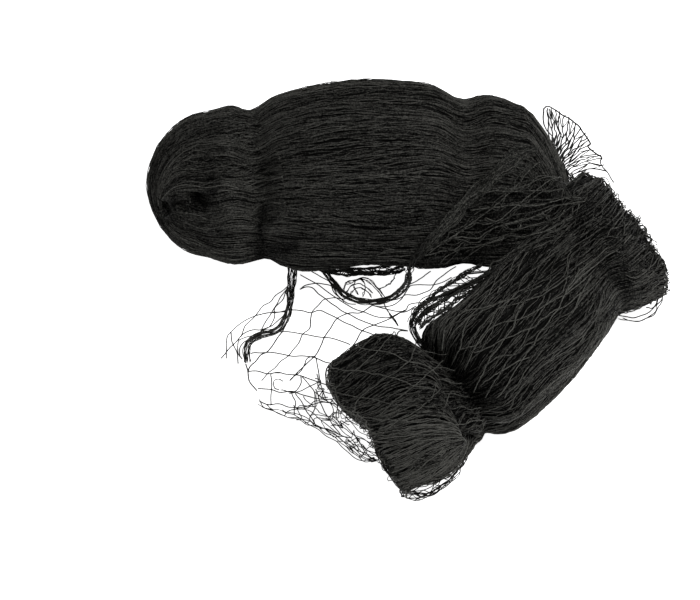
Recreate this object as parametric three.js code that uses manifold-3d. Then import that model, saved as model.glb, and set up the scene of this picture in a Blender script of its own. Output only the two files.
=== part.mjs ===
// Pond netting as it lies when part of it has been shaken loose: two wound hanks of fine black knotted net,
// with open net spread between them, a swath drawn over the upper hank and gathered strands on the floor.
// Millimetres, +Z up. The netting lies on the plane z = 0, with +X to the right and +Y away from the viewer.
import * as THREE from "three";
import { mergeVertices } from "three/addons/utils/BufferGeometryUtils.js";
import Module from "manifold-3d";

const wasm = await Module();
wasm.setup();

// Driving dimensions
const TWINE = 1.6; // width and thickness of a bar of open net, its knots included
const GAP = 0.5; // clearance between neighbouring pieces
const BAR_STEPS = 2; // straight pieces in one bar of open net, knot to knot
const SHARPEST = 0.4; // sine of the sharpest mesh corner that a knot is widened for
const MERGE = 1e-3; // vertices closer than this are one
const ROUGHNESS = 0.62; // matt twine
const MIDDLE = { x: 2.17, y: 4.45 }; // place of the middle of the whole layout before it is centred

// Creases between the twisted bundles of a hank. They fade out close above the floor.
const FURROW = {
  depth: 4.2,
  crest: 0.62, // share of the depth in the main creases
  fine: 0.3, // size of the finer furrows beside the main creases
  clear: 6, // height at which they begin
  fade: 19, // height over which they reach their full depth
};

// Upper hank: a skein wound around two eyes and drawn in by a tie beyond each of them.
// Each row is a section across the hank: along and across give its middle, half its half width,
// high its top, and lift its lowest point, which is below zero where the hank presses on the floor.
const UPPER_SECTIONS = [
  { along: -165, across: 86, half: 64, high: 92, lift: -3 },
  { along: -141, across: 83, half: 71, high: 98, lift: -4 },
  { along: -121, across: 87, half: 69, high: 83, lift: 4 },
  { along: -101, across: 87, half: 77, high: 100, lift: -1 },
  { along: -76, across: 85, half: 83, high: 112, lift: -4 },
  { along: -38, across: 85, half: 86.5, high: 118, lift: -5 },
  { along: 0, across: 86, half: 86, high: 118, lift: -5 },
  { along: 28, across: 87, half: 83, high: 113, lift: -4 },
  { along: 53, across: 88, half: 76, high: 94, lift: 3 },
  { along: 76, across: 88, half: 78, high: 102, lift: -3 },
  { along: 102, across: 85, half: 72, high: 98, lift: -3 },
];
const UPPER = {
  seam: THREE.MathUtils.degToRad(125), // angle from +Y at which the two runs of the skein meet
  legSteps: 30,
  capSteps: 10,
  fallSteps: 24,
  left: { reach: 46, power: 1.8 }, // round end beyond the left eye
  right: { reach: 37, power: 1.35 }, // blunter end beyond the right eye
  seamWidth: 0.45, // the creases fade out this close to the seam, as a share of the half width
  mainFurrows: 8, // around both runs
  fineFurrows: 13,
  wander: { sway: 0.8, length: 47 }, // sway of the furrows along the hank, in radians over a length
  neckSlant: -0.09, // the left neck runs askew
  neckAlong: -121,
  neckSpread: 22,
};
const EYES = [
  { along: -163, depth: 15, radius: 12 },
  { along: 100, depth: 8, radius: 12 },
];

// Lower hank: gathered net, tied near both ends, whose ends fan out beyond the ties.
// Each row is a section: x and y give its middle, heading the direction of the hank there, in degrees.
const LOWER_SECTIONS = [
  { way: 0, x: -29, y: -127, heading: 28, half: 59, high: 56, lift: -3 },
  { way: 1, x: 3, y: -114, heading: 27, half: 61, high: 78, lift: -4 },
  { way: 2, x: 22, y: -105, heading: 33, half: 53, high: 78, lift: -2 },
  { way: 3, x: 39, y: -99, heading: 37, half: 45, high: 66, lift: 3 },
  { way: 4, x: 57, y: -87, heading: 41, half: 53, high: 92, lift: -3 },
  { way: 5, x: 87, y: -61, heading: 45, half: 53.5, high: 106, lift: -5 },
  { way: 6, x: 118, y: -28, heading: 44, half: 52.5, high: 104, lift: -4 },
  { way: 7, x: 143, y: 3, heading: 37, half: 50, high: 86, lift: 2 },
  { way: 8, x: 161, y: 24, heading: 33, half: 59, high: 90, lift: -2 },
  { way: 9, x: 182, y: 45, heading: 32, half: 66, high: 74, lift: -2 },
];
const LOWER = {
  ringsPerWay: 4,
  sides: 45,
  power: 2.3, // sections a little squarer than an ellipse
  ringReach: 7, // half the length that one ring stands for
  mainFurrows: 9,
  fineFurrows: 5,
  twist: 0.8, // turn of the furrows from one section to the next, in radians
};
// The fanned ends close over a short bulge: share of the section, and how far it stands out.
const LOWER_ENDS = [
  { share: 0.9, out: 3 },
  { share: 0.6, out: 5 },
  { share: 0.25, out: 6 },
  { share: 0, out: 6 },
];

// Open net on the floor between the hanks and over the fanned end of the lower one.
// Each row is one line of knots through four places: its outer end, the floor, the rise and its inner end.
const SPREAD_ROWS = [
  { x0: -82, y0: 42, x1: -60, y1: 44, x2: -30, y2: 44, x3: 2, y3: 44 },
  { x0: -96, y0: 12, x1: -72, y1: 16, x2: -40, y2: 6, x3: 7, y3: -5 },
  { x0: -112, y0: -2, x1: -64, y1: -1, x2: -26, y2: -23, x3: 3, y3: -38 },
  { x0: -126, y0: -20, x1: -75, y1: -13, x2: -30, y2: -38, x3: 15, y3: -78 },
  { x0: -138, y0: -31, x1: -81, y1: -33, x2: -40, y2: -56, x3: 26, y3: -97 },
  { x0: -143, y0: -46, x1: -94, y1: -53, x2: -54, y2: -72, x3: 32, y3: -111 },
  { x0: -143, y0: -60, x1: -108, y1: -69, x2: -64, y2: -83, x3: 35, y3: -122 },
  { x0: -127, y0: -80, x1: -98, y1: -85, x2: -56, y2: -106, x3: 34, y3: -135 },
];
const SPREAD = { bars: 9, rise: FURROW.depth + 0.6, passes: 4 };

// Front fold: the edge of the spread net, folded under and drawn together into a thick selvedge.
const FRONT_ROWS = [
  { x0: -127, y0: -82.4, x1: -98, y1: -87.4, x2: -70, y2: -102, x3: -45, y3: -121 },
  { x0: -123, y0: -92, x1: -92, y1: -102, x2: -66, y2: -115, x3: -39, y3: -134 },
  { x0: -119, y0: -99, x1: -88, y1: -112, x2: -61, y2: -127, x3: -32, y3: -148 },
];
const FRONT = { bars: 6, selvedge: { line: FRONT_ROWS.length - 1, wide: 5, thick: 3.5 } };

// Swath: stretched net over the right end of the upper hank and down onto the lower one.
// Its four corners, and the gathered selvedge along its first edge.
const SWATH = {
  start: { x: 7, y: 5 },
  top: { x: 108, y: 85 },
  side: { x: 86, y: 8 },
  far: { x: 150, y: 46 },
  barsAlong: 9,
  barsAcross: 7,
  rise: FURROW.depth + 1.6,
  passes: 6,
  selvedge: { line: 0, wide: 8, thick: 5 },
};

// Flap: a loose corner of net behind the right ends, from its root between the hanks down to the floor.
const FLAP_ROWS = [
  { x0: 145.9, y0: 108.3, x3: 169.1, y3: 78.3, z: 38 },
  { x0: 142, y0: 122, x3: 178, y3: 107, z: 34 },
  { x0: 136, y0: 141, x3: 174, y3: 127, z: 27 },
  { x0: 133, y0: 158, x3: 167, y3: 149, z: 19 },
  { x0: 132, y0: 174, x3: 159, y3: 170, z: 9 },
  { x0: 136, y0: 190, x3: 147, y3: 187, z: 0 },
];
const FLAP = { bars: 5 };

// Gathered net: strands drawn together like rope, given by the route of their middle line.
const TAIL = {
  radius: 3.2,
  steps: 30,
  route: [
    [-91, 44, 6],
    [-91, 24, 6],
    [-92, 7, 6],
    [-93, -9, 6],
    [-96, -23, 6],
    [-103, -33, 6],
    [-116, -37, 6],
    [-125, -43, 6],
    [-128, -52, 6],
    [-127, -62, 6],
  ],
};
const LOOP = {
  radius: 3.4,
  steps: 36,
  route: [
    [-70, 40, 6],
    [-63, 22, 6],
    [-55, 10, 6],
    [-46, 0, 6],
    [-34, -6, 6],
    [-18, -6, 6],
    [-7, -4, 8],
    [0, -4, 20],
    [5, -4, 36],
    [6, -4, 50],
  ],
};
const EDGE = {
  radius: 3.2,
  steps: 26,
  route: [
    [98, -2, 72],
    [84, -6, 70],
    [63, -15, 62],
    [44, -21, 56],
    [28, -27, 50],
    [14, -35, 43],
    [9, -46, 40],
    [16, -62, 42],
    [26, -74, 42],
  ],
};
const STRAND = { sides: 10, groove: 0.82 }; // a gathered strand's section, five twisted ridges

// Tie that draws in the left neck of the upper hank.
const TIE = { along: -121, steps: 48, thick: 1.6, gap: 1.6 };

/** Value of one column of a table at a place along it, on a smooth curve through the rows. */
function smooth(rows, key, field, at) {
  const last = rows.length - 1;
  if (at <= rows[0][key]) return rows[0][field];
  if (at >= rows[last][key]) return rows[last][field];
  let k = 0;
  while (at > rows[k + 1][key]) k += 1;
  const before = rows[Math.max(k - 1, 0)];
  const from = rows[k];
  const to = rows[k + 1];
  const after = rows[Math.min(k + 2, last)];
  const span = to[key] - from[key];
  const leave = ((to[field] - before[field]) / (to[key] - before[key])) * span;
  const arrive = ((after[field] - from[field]) / (after[key] - from[key])) * span;
  const t = (at - from[key]) / span;
  const u = 1 - t;
  const held = from[field] * u * u * (1 + 2 * t) + to[field] * t * t * (1 + 2 * u);
  return held + leave * t * u * u - arrive * t * t * u;
}

/** Section of the upper hank at a place along it, with the half axes and middle of its oval. */
function upperSection(along) {
  const at = (field) => smooth(UPPER_SECTIONS, "along", field, along);
  const rise = (at("high") - at("lift")) / 2;
  return { across: at("across"), half: at("half"), rise, middle: at("lift") + rise };
}

/** A number raised to a power with its sign kept. */
function signedPower(value, power) {
  return Math.sign(value) * Math.abs(value) ** power;
}

/** Soft step from 0 to 1 as a value goes from 0 to a width. */
function ease(value, width) {
  const t = THREE.MathUtils.clamp(value / width, 0, 1);
  return t * t * (3 - 2 * t);
}

/** How far the skin of a hank stands out at a height, from the phases of its main and its finer furrows. */
function furrowAt(height, main, fine) {
  const bundle = 2 * Math.abs(Math.cos(main / 2)) - 1;
  const ripple = bundle + FURROW.fine * Math.cos(fine);
  return FURROW.depth * FURROW.crest * ripple * ease(height - FURROW.clear, FURROW.fade);
}

/** Places around the racetrack of the skein: back run, right turn, front run, left turn. */
function upperStations() {
  const first = UPPER_SECTIONS[0].along;
  const last = UPPER_SECTIONS.at(-1).along;
  const stations = [];
  const leg = (from, to, back) => {
    for (let k = 0; k <= UPPER.legSteps; k += 1) {
      stations.push({ along: THREE.MathUtils.lerp(from, to, k / UPPER.legSteps), back, out: 0 });
    }
  };
  const turn = (along, end, side, from) => {
    for (let k = 1; k < UPPER.capSteps; k += 1) {
      const angle = (Math.PI * k) / UPPER.capSteps;
      const back = from * signedPower(Math.cos(angle), 2 / end.power);
      stations.push({ along, back, out: side * end.reach * Math.sin(angle) ** (2 / end.power) });
    }
  };
  leg(first, last, 1);
  turn(last, UPPER.right, 1, 1);
  leg(last, first, -1);
  turn(first, UPPER.left, -1, -1);
  return stations;
}

/** Place of an eye of the upper hank on its seam, and the direction straight out of it. */
function eyePlace({ along }) {
  const { across, half, rise, middle } = upperSection(along);
  const outOf = new THREE.Vector3(0, half * Math.cos(UPPER.seam), rise * Math.sin(UPPER.seam));
  const place = new THREE.Vector3(along, across, middle).add(outOf);
  return { place, outOf: outOf.normalize() };
}

/** Point of the upper hank: fall goes from 0 at the upper seam, around the outside, to pi at the lower. */
function upperPoint({ along, back, out }, fall, swell = 0) {
  const { across, half, rise, middle } = upperSection(along);
  const inward = Math.cos(fall);
  const outward = Math.sin(fall);
  const offset = new THREE.Vector3(
    outward * out,
    half * (inward * Math.cos(UPPER.seam) + outward * back * Math.sin(UPPER.seam)),
    rise * (inward * Math.sin(UPPER.seam) - outward * back * Math.cos(UPPER.seam)),
  );
  const wander = UPPER.wander.sway * Math.sin(along / UPPER.wander.length) + back;
  const [main, fine] = [UPPER.mainFurrows * fall + wander, UPPER.fineFurrows * fall - 2 * wander];
  const furrow = ease(outward, UPPER.seamWidth) * furrowAt(middle + offset.z, main, fine);
  offset.setLength(offset.length() + furrow + swell);
  const place = new THREE.Vector3(along, across, middle).add(offset);
  for (const eye of EYES) {
    const hole = eyePlace(eye);
    const away = place.distanceTo(hole.place);
    place.addScaledVector(hole.outOf, -eye.depth * Math.exp(-((away / eye.radius) ** 2)));
  }
  const neck = Math.exp(-(((along - UPPER.neckAlong) / UPPER.neckSpread) ** 2));
  place.x += UPPER.neckSlant * (place.y - across) * neck;
  place.z = Math.max(place.z, -swell);
  return place;
}

/** Height of the upper hank's top over a place on the floor, or 0 outside its outline. */
function upperTop(x, y, swell) {
  const first = UPPER_SECTIONS[0].along;
  const last = UPPER_SECTIONS.at(-1).along;
  const along = THREE.MathUtils.clamp(x, first, last);
  const { across, half, rise, middle } = upperSection(along);
  const reach = (x < first ? UPPER.left.reach : UPPER.right.reach) + swell;
  const away = Math.hypot((x - along) / reach, (y - across) / (half + swell));
  return away < 1 ? middle + (rise + swell) * Math.sqrt(1 - away * away) : 0;
}

/** Section of the lower hank at a place on its way from end to end. */
function lowerSection(way) {
  const at = (field) => smooth(LOWER_SECTIONS, "way", field, way);
  const rise = (at("high") - at("lift")) / 2;
  const heading = THREE.MathUtils.degToRad(at("heading"));
  return { way, x: at("x"), y: at("y"), heading, half: at("half"), rise, middle: at("lift") + rise };
}

/** Point of the lower hank's skin around a section, share of its size and standing out along the hank. */
function lowerPoint(section, angle, swell = 0, share = 1, out = 0) {
  const { way, x, y, heading, half, rise, middle } = section;
  const round = 2 / LOWER.power;
  const side = signedPower(Math.cos(angle), round);
  const up = signedPower(Math.sin(angle), round);
  const turn = LOWER.twist * way;
  const [main, fine] = [LOWER.mainFurrows * angle + turn, LOWER.fineFurrows * angle - turn];
  const furrow = furrowAt(middle + rise * up, main, fine);
  const across = side * (half + furrow + swell) * share;
  const height = middle + up * (rise + furrow + swell) * share;
  return new THREE.Vector3(
    x + across * Math.sin(heading) + out * Math.cos(heading),
    y - across * Math.cos(heading) + out * Math.sin(heading),
    Math.max(height, -swell),
  );
}

const LOWER_LAST = LOWER_SECTIONS.length - 1;
const LOWER_RINGS = Array.from({ length: LOWER_LAST * LOWER.ringsPerWay + 1 }, (_, k) =>
  lowerSection(k / LOWER.ringsPerWay),
);

/** Height of the lower hank's top over a place on the floor, or 0 outside its outline. */
function lowerTop(x, y, swell) {
  let top = 0;
  for (const ring of LOWER_RINGS) {
    const isEnd = ring.way === 0 || ring.way === LOWER_LAST;
    const reach = isEnd ? LOWER_ENDS.at(-1).out + swell : LOWER.ringReach;
    const along = (x - ring.x) * Math.cos(ring.heading) + (y - ring.y) * Math.sin(ring.heading);
    const across = (x - ring.x) * Math.sin(ring.heading) - (y - ring.y) * Math.cos(ring.heading);
    const away = Math.abs(across) / (ring.half + swell);
    if (Math.abs(along) < reach && away < 1) {
      const height = ring.middle + (ring.rise + swell) * (1 - away ** LOWER.power) ** (1 / LOWER.power);
      top = Math.max(top, height);
    }
  }
  return top;
}

/** Closed geometry from vertices and faces, with doubled vertices merged, and its faces turned outwards. */
function closed(vertices, faces) {
  const geometry = new THREE.BufferGeometry();
  const numbers = vertices.flatMap((vertex) => vertex.toArray());
  geometry.setAttribute("position", new THREE.Float32BufferAttribute(numbers, 3));
  geometry.setIndex(faces.flat());
  const merged = mergeVertices(geometry, MERGE);
  const index = merged.index.array;
  const position = merged.attributes.position;
  const corner = [0, 1, 2].map(() => new THREE.Vector3());
  const kept = [];
  let volume = 0;
  for (let k = 0; k < index.length; k += 3) {
    const [a, b, c] = [index[k], index[k + 1], index[k + 2]];
    if (a === b || b === c || c === a) continue;
    kept.push(a, b, c);
    [a, b, c].forEach((vertex, n) => corner[n].fromBufferAttribute(position, vertex));
    volume += corner[0].dot(corner[1].clone().cross(corner[2]));
  }
  merged.setIndex(volume > 0 ? kept : kept.reverse());
  return merged;
}

/** Closed skin over rows of points; the rows are joined end to end where wrapRows says so. */
function skin(rows, { wrapRows = false, wrapColumns = false }) {
  const wide = rows[0].length;
  const faces = [];
  const lastRow = wrapRows ? rows.length : rows.length - 1;
  const lastColumn = wrapColumns ? wide : wide - 1;
  for (let r = 0; r < lastRow; r += 1) {
    for (let c = 0; c < lastColumn; c += 1) {
      const [near, next] = [r * wide, ((r + 1) % rows.length) * wide];
      const [left, right] = [c, (c + 1) % wide];
      faces.push([near + left, next + left, next + right], [near + left, next + right, near + right]);
    }
  }
  return closed(rows.flat(), faces);
}

/** A closed geometry as a solid that can be joined and cut. */
function toSolid(geometry) {
  const bare = new THREE.BufferGeometry();
  bare.setAttribute("position", geometry.attributes.position.clone());
  if (geometry.index) bare.setIndex(geometry.index.clone());
  const merged = mergeVertices(bare, MERGE);
  return new wasm.Manifold(
    new wasm.Mesh({
      numProp: 3,
      vertProperties: new Float32Array(merged.attributes.position.array),
      triVerts: new Uint32Array(merged.index.array),
    }),
  );
}

/** The geometry of a solid. */
function toGeometry(solid) {
  const { vertProperties, triVerts, numProp } = solid.getMesh();
  const geometry = new THREE.BufferGeometry();
  geometry.setAttribute("position", new THREE.BufferAttribute(vertProperties, numProp));
  geometry.setIndex(new THREE.BufferAttribute(triVerts, 1));
  return geometry;
}

/** Geometry of the upper hank, or of one a little larger all round. */
function upperHank(swell = 0) {
  const rows = upperStations().map((station) =>
    Array.from({ length: UPPER.fallSteps + 1 }, (_, k) =>
      upperPoint(station, (Math.PI * k) / UPPER.fallSteps, swell),
    ),
  );
  return skin(rows, { wrapRows: true });
}

/** Geometry of the lower hank, or of one a little larger all round. */
function lowerHank(swell = 0) {
  const ring = (section, end, side) =>
    Array.from({ length: LOWER.sides }, (_, k) =>
      lowerPoint(section, (2 * Math.PI * k) / LOWER.sides, swell, end.share, side * (end.out + swell)),
    );
  const whole = { share: 1, out: -swell };
  const first = LOWER_RINGS[0];
  const last = LOWER_RINGS.at(-1);
  const rows = [
    ...LOWER_ENDS.toReversed().map((end) => ring(first, end, -1)),
    ...LOWER_RINGS.map((section) => ring(section, whole, 1)),
    ...LOWER_ENDS.map((end) => ring(last, end, 1)),
  ];
  return skin(rows, { wrapColumns: true });
}

/** Heights of a net over what lies under it: it rests on the tops and spans hollows like a taut sheet. */
function drape(places, topAt, passes) {
  const rest = places.map((row) => row.map(({ x, y }) => topAt(x, y)));
  let heights = rest;
  for (let pass = 0; pass < passes; pass += 1) {
    const old = heights;
    heights = old.map((row, r) =>
      row.map((_, c) => {
        const beside = [old[r - 1]?.[c], old[r + 1]?.[c], row[c - 1], row[c + 1]];
        const around = beside.filter((z) => z !== undefined);
        const mean = around.reduce((sum, z) => sum + z, 0) / around.length;
        return Math.max(rest[r][c], mean);
      }),
    );
  }
  return places.map((row, r) => row.map(({ x, y }, c) => new THREE.Vector3(x, y, heights[r][c])));
}

/** Open net: knots and bars over a grid of places, several places to a bar, as one closed solid. */
function openNet(grid, selvedge) {
  const lines = (grid.length - 1) / BAR_STEPS;
  const posts = (grid[0].length - 1) / BAR_STEPS;
  const vertices = [];
  const faces = [];
  const wide = (line) => (selvedge && line === selvedge.line ? selvedge.wide : TWINE);
  const thick = (line) => (selvedge && line === selvedge.line ? selvedge.thick : TWINE);
  const flat = (from, to) => new THREE.Vector3(to.x - from.x, to.y - from.y, 0).normalize();
  const { clamp } = THREE.MathUtils;
  const place = (r, c) => grid[clamp(r, 0, lines * BAR_STEPS)][clamp(c, 0, posts * BAR_STEPS)];
  const quad = (a, b, c, d) => faces.push([a, b, c], [a, c, d]);
  // A post of the net is a low and a high vertex over one place.
  const post = (point, height) => {
    const low = vertices.push(point.clone()) - 1;
    const high = vertices.push(point.clone().setZ(point.z + height)) - 1;
    return { low, high };
  };
  const knots = [];
  for (let line = 0; line <= lines; line += 1) {
    knots.push([]);
    for (let k = 0; k <= posts; k += 1) {
      const [r, c] = [line * BAR_STEPS, k * BAR_STEPS];
      const east = flat(place(r, c - 1), place(r, c + 1));
      const south = flat(place(r - 1, c), place(r + 1, c));
      const spread = 2 * Math.max(SHARPEST, Math.abs(east.x * south.y - east.y * south.x));
      const corner = (e, s) => {
        const point = place(r, c).clone();
        point.addScaledVector(east, (e * TWINE) / spread);
        point.addScaledVector(south, (s * wide(line)) / spread);
        return post(point, thick(line));
      };
      knots[line].push({ nw: corner(-1, -1), ne: corner(1, -1), sw: corner(-1, 1), se: corner(1, 1) });
    }
  }
  // One piece of a bar between two pairs of posts, left and right of its direction.
  const piece = (from, to) => {
    quad(from.left.high, from.right.high, to.right.high, to.left.high);
    quad(from.left.low, to.left.low, to.right.low, from.right.low);
    quad(from.left.low, from.left.high, to.left.high, to.left.low);
    quad(from.right.low, to.right.low, to.right.high, from.right.high);
  };
  const bar = (places, toLeft, width, height, first, last) => {
    const stations = [first];
    for (let k = 1; k < BAR_STEPS; k += 1) {
      const along = flat(places[k - 1], places[k + 1]);
      const side = new THREE.Vector3(-along.y, along.x, 0);
      if (side.dot(toLeft) < 0) side.negate();
      const left = post(places[k].clone().addScaledVector(side, width / 2), height);
      const right = post(places[k].clone().addScaledVector(side, -width / 2), height);
      stations.push({ left, right });
    }
    stations.push(last);
    for (let k = 0; k < BAR_STEPS; k += 1) piece(stations[k], stations[k + 1]);
  };
  const wall = (a, b) => quad(a.low, b.low, b.high, a.high);
  for (let line = 0; line <= lines; line += 1) {
    for (let k = 0; k <= posts; k += 1) {
      const { nw, ne, sw, se } = knots[line][k];
      const [r, c] = [line * BAR_STEPS, k * BAR_STEPS];
      const steps = Array.from({ length: BAR_STEPS + 1 }, (_, n) => n);
      quad(nw.high, sw.high, se.high, ne.high);
      quad(nw.low, ne.low, se.low, sw.low);
      if (k === 0) wall(nw, sw);
      if (line === 0) wall(ne, nw);
      if (k === posts) {
        wall(se, ne);
      } else {
        const next = knots[line][k + 1];
        const north = flat(place(r + 1, c), place(r - 1, c));
        const ends = [{ left: ne, right: se }, { left: next.nw, right: next.sw }];
        bar(steps.map((n) => place(r, c + n)), north, wide(line), thick(line), ...ends);
      }
      if (line === lines) {
        wall(sw, se);
      } else {
        const next = knots[line + 1][k];
        const east = flat(place(r, c - 1), place(r, c + 1));
        const ends = [{ left: se, right: sw }, { left: next.ne, right: next.nw }];
        bar(steps.map((n) => place(r + n, c)), east, TWINE, TWINE, ...ends);
      }
    }
  }
  return closed(vertices, faces);
}

/** Grid of places across a table of net rows, several places to a bar, spread evenly along each row. */
function netPlaces(rows, bars, columns) {
  const keyed = rows.map((row, k) => ({ ...row, row: k }));
  const lines = (rows.length - 1) * BAR_STEPS;
  return Array.from({ length: lines + 1 }, (_, line) => {
    const at = (field) => smooth(keyed, "row", field, line / BAR_STEPS);
    const knots = columns.map((k) => new THREE.Vector3(at(`x${k}`), at(`y${k}`), 0));
    const curve = new THREE.CatmullRomCurve3(knots, false, "centripetal");
    const steps = bars * BAR_STEPS;
    return Array.from({ length: steps + 1 }, (_, k) => curve.getPointAt(k / steps));
  });
}

/** Open net spread on the floor and up over the fanned end of the lower hank. */
function spreadNet() {
  const places = netPlaces(SPREAD_ROWS, SPREAD.bars, [0, 1, 2, 3]);
  return openNet(drape(places, (x, y) => lowerTop(x, y, SPREAD.rise), SPREAD.passes));
}

/** Folded edge of the spread net, flat on the floor. */
function frontNet() {
  return openNet(netPlaces(FRONT_ROWS, FRONT.bars, [0, 1, 2, 3]), FRONT.selvedge);
}

/** Stretched net over both hanks, its gathered selvedge at its upper left. */
function swathNet() {
  const { start, top, side, far, barsAlong, barsAcross } = SWATH;
  const { lerp } = THREE.MathUtils;
  const places = Array.from({ length: barsAcross * BAR_STEPS + 1 }, (_, r) => {
    const v = r / (barsAcross * BAR_STEPS);
    return Array.from({ length: barsAlong * BAR_STEPS + 1 }, (_, c) => {
      const u = c / (barsAlong * BAR_STEPS);
      return {
        x: lerp(lerp(start.x, top.x, u), lerp(side.x, far.x, u), v),
        y: lerp(lerp(start.y, top.y, u), lerp(side.y, far.y, u), v),
      };
    });
  });
  const topAt = (x, y) => Math.max(upperTop(x, y, SWATH.rise), lowerTop(x, y, SWATH.rise));
  return openNet(drape(places, topAt, SWATH.passes), SWATH.selvedge);
}

/** Loose corner of net that slopes from its root down to the floor. */
function flapNet() {
  const keyed = FLAP_ROWS.map((row, k) => ({ ...row, row: k }));
  const grid = netPlaces(FLAP_ROWS, FLAP.bars, [0, 3]);
  grid.forEach((row, line) => {
    const height = Math.max(0, smooth(keyed, "row", "z", line / BAR_STEPS));
    row.forEach((point) => point.setZ(height));
  });
  return openNet(grid);
}

/** Net gathered like rope along a route, clear of both hanks. */
function gathered({ route, radius, steps }, hanks) {
  const outline = Array.from({ length: STRAND.sides }, (_, k) => {
    const angle = (2 * Math.PI * k) / STRAND.sides;
    const reach = radius * (k % 2 ? STRAND.groove : 1);
    return new THREE.Vector2(reach * Math.cos(angle), reach * Math.sin(angle));
  });
  const places = route.map((point) => new THREE.Vector3(...point));
  const extrudePath = new THREE.CatmullRomCurve3(places, false, "centripetal");
  const settings = { steps, extrudePath, bevelEnabled: false };
  const rope = new THREE.ExtrudeGeometry(new THREE.Shape(outline), settings);
  return toGeometry(hanks.reduce((solid, hank) => solid.subtract(hank), toSolid(rope)));
}

/** Ring of twine around the left neck of the upper hank, just clear of it. */
function tieRing() {
  const depths = [TIE.gap, TIE.gap + TIE.thick];
  const rows = Array.from({ length: TIE.steps }, (_, k) => {
    const turn = (2 * Math.PI * k) / TIE.steps;
    const back = turn < Math.PI ? 1 : -1;
    const fall = back > 0 ? turn : 2 * Math.PI - turn;
    const [low, high] = depths.map((swell) => upperPoint({ along: TIE.along, back, out: 0 }, fall, swell));
    const half = new THREE.Vector3(TIE.thick / 2, 0, 0);
    return [low.clone().sub(half), high.clone().sub(half), high.clone().add(half), low.clone().add(half)];
  });
  return skin(rows, { wrapRows: true, wrapColumns: true });
}

/** Matt black twine, a shade lighter or darker. */
function twineMaterial(color) {
  return new THREE.MeshStandardMaterial({ color, roughness: ROUGHNESS, metalness: 0 });
}

const nearUpper = toSolid(upperHank(GAP));
const nearLower = toSolid(lowerHank(GAP));
const pieces = {
  hank_upper: [upperHank(), 0x1d1d1b],
  hank_lower: [toGeometry(toSolid(lowerHank()).subtract(nearUpper)), 0x262624],
  net_spread: [spreadNet(), 0x2b2a27],
  net_front: [frontNet(), 0x2b2a27],
  net_swath: [swathNet(), 0x2e2e2b],
  net_flap: [flapNet(), 0x2b2a27],
  gathered_tail: [gathered(TAIL, [nearUpper]), 0x232321],
  gathered_loop: [gathered(LOOP, [nearUpper]), 0x232321],
  gathered_edge: [gathered(EDGE, [nearUpper, nearLower]), 0x232321],
  tie_upper: [tieRing(), 0x30302d],
};

const netting = new THREE.Group();
netting.name = "pond_netting";
const layout = new THREE.Group();
layout.position.set(-MIDDLE.x, -MIDDLE.y, 0);
for (const [name, [geometry, color]] of Object.entries(pieces)) {
  const mesh = new THREE.Mesh(geometry, twineMaterial(color));
  mesh.name = name;
  layout.add(mesh);
}
netting.add(layout);

export default netting;
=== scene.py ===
"""Pond netting: two wound hanks of fine black knotted net, with open net shaken loose between them.

Sizes and points are millimetres in the layout of the hanks; meshes are in metres in the part's own frame.
"""

import logging
import math
from dataclasses import dataclass
from enum import Enum
from typing import Sequence

import bmesh
import bpy
import numpy as np
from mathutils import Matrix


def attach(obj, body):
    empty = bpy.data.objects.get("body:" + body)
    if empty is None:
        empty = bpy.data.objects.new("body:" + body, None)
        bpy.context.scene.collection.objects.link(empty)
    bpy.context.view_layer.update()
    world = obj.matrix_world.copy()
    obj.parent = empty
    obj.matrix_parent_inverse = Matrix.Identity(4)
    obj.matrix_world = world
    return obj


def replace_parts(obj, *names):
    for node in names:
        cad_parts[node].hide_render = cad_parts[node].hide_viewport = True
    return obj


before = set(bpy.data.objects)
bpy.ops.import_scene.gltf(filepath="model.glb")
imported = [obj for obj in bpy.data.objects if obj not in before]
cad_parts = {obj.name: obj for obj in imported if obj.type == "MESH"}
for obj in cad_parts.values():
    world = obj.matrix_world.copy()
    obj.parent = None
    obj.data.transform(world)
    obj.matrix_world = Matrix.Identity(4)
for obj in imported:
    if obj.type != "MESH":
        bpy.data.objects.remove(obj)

logging.basicConfig(level=logging.INFO, format="%(message)s")
LOG = logging.getLogger("netting")

Array = np.ndarray
Rows = Sequence[Sequence[float]]
Lines = Sequence[Rows]
Rng = np.random.Generator
Piece = bpy.types.Object
Pair = tuple[float, float]
Triple = tuple[float, float, float]

MM = 0.001
TAU = 2.0 * math.pi
MIDDLE = np.array([2.17, 4.45, 0.0])  # middle of the layout, which is the part's origin
FLOOR_CLEAR = 0.4  # lowest middle line of a twine
CORE_DEPTH = -2.6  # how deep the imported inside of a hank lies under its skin
MERGE = 1e-6  # distance in metres under which points of a skin are one
TINY = 1e-9
PALEST = 1.2  # palest tone of a hank's close strands
BODY = "root"


class Run(Enum):
    """How a line of twine ends."""

    OPEN = "open"
    RING = "ring"


class Grain(Enum):
    """Which way the strands of a skin run."""

    ROWS = "rows"
    COLUMNS = "columns"


class Slot(Enum):
    """Material slots of the record."""

    HANK = "hank_twine"
    OPEN = "open_twine"
    GATHERED = "gathered_twine"
    TIE = "tie_twine"


class Seed(Enum):
    """Seeds of the pieces' random numbers."""

    UPPER_STRANDS = 3
    LOWER_STRANDS = 7
    SPREAD = 11
    MESHES = 13
    FRINGE = 17
    OVER = 19
    FRONT = 23
    COMBS = 29
    FLAP = 31
    SWATH = 37
    TAIL = 41
    LOOP = 43
    EDGE = 47
    END_LOOPS = 53
    SIDE_STRANDS = 59

    def rng(self) -> Rng:
        """A new source of seeded numbers."""
        return np.random.default_rng(self.value)


def ease(value: Array, width: float) -> Array:
    """Soft step from 0 to 1."""
    t = np.clip(value / width, 0.0, 1.0)
    return t * t * (3.0 - 2.0 * t)


def signed_power(value: Array, power: float) -> Array:
    """A value raised to a power with its sign kept."""
    return np.sign(value) * np.abs(value) ** power


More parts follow.
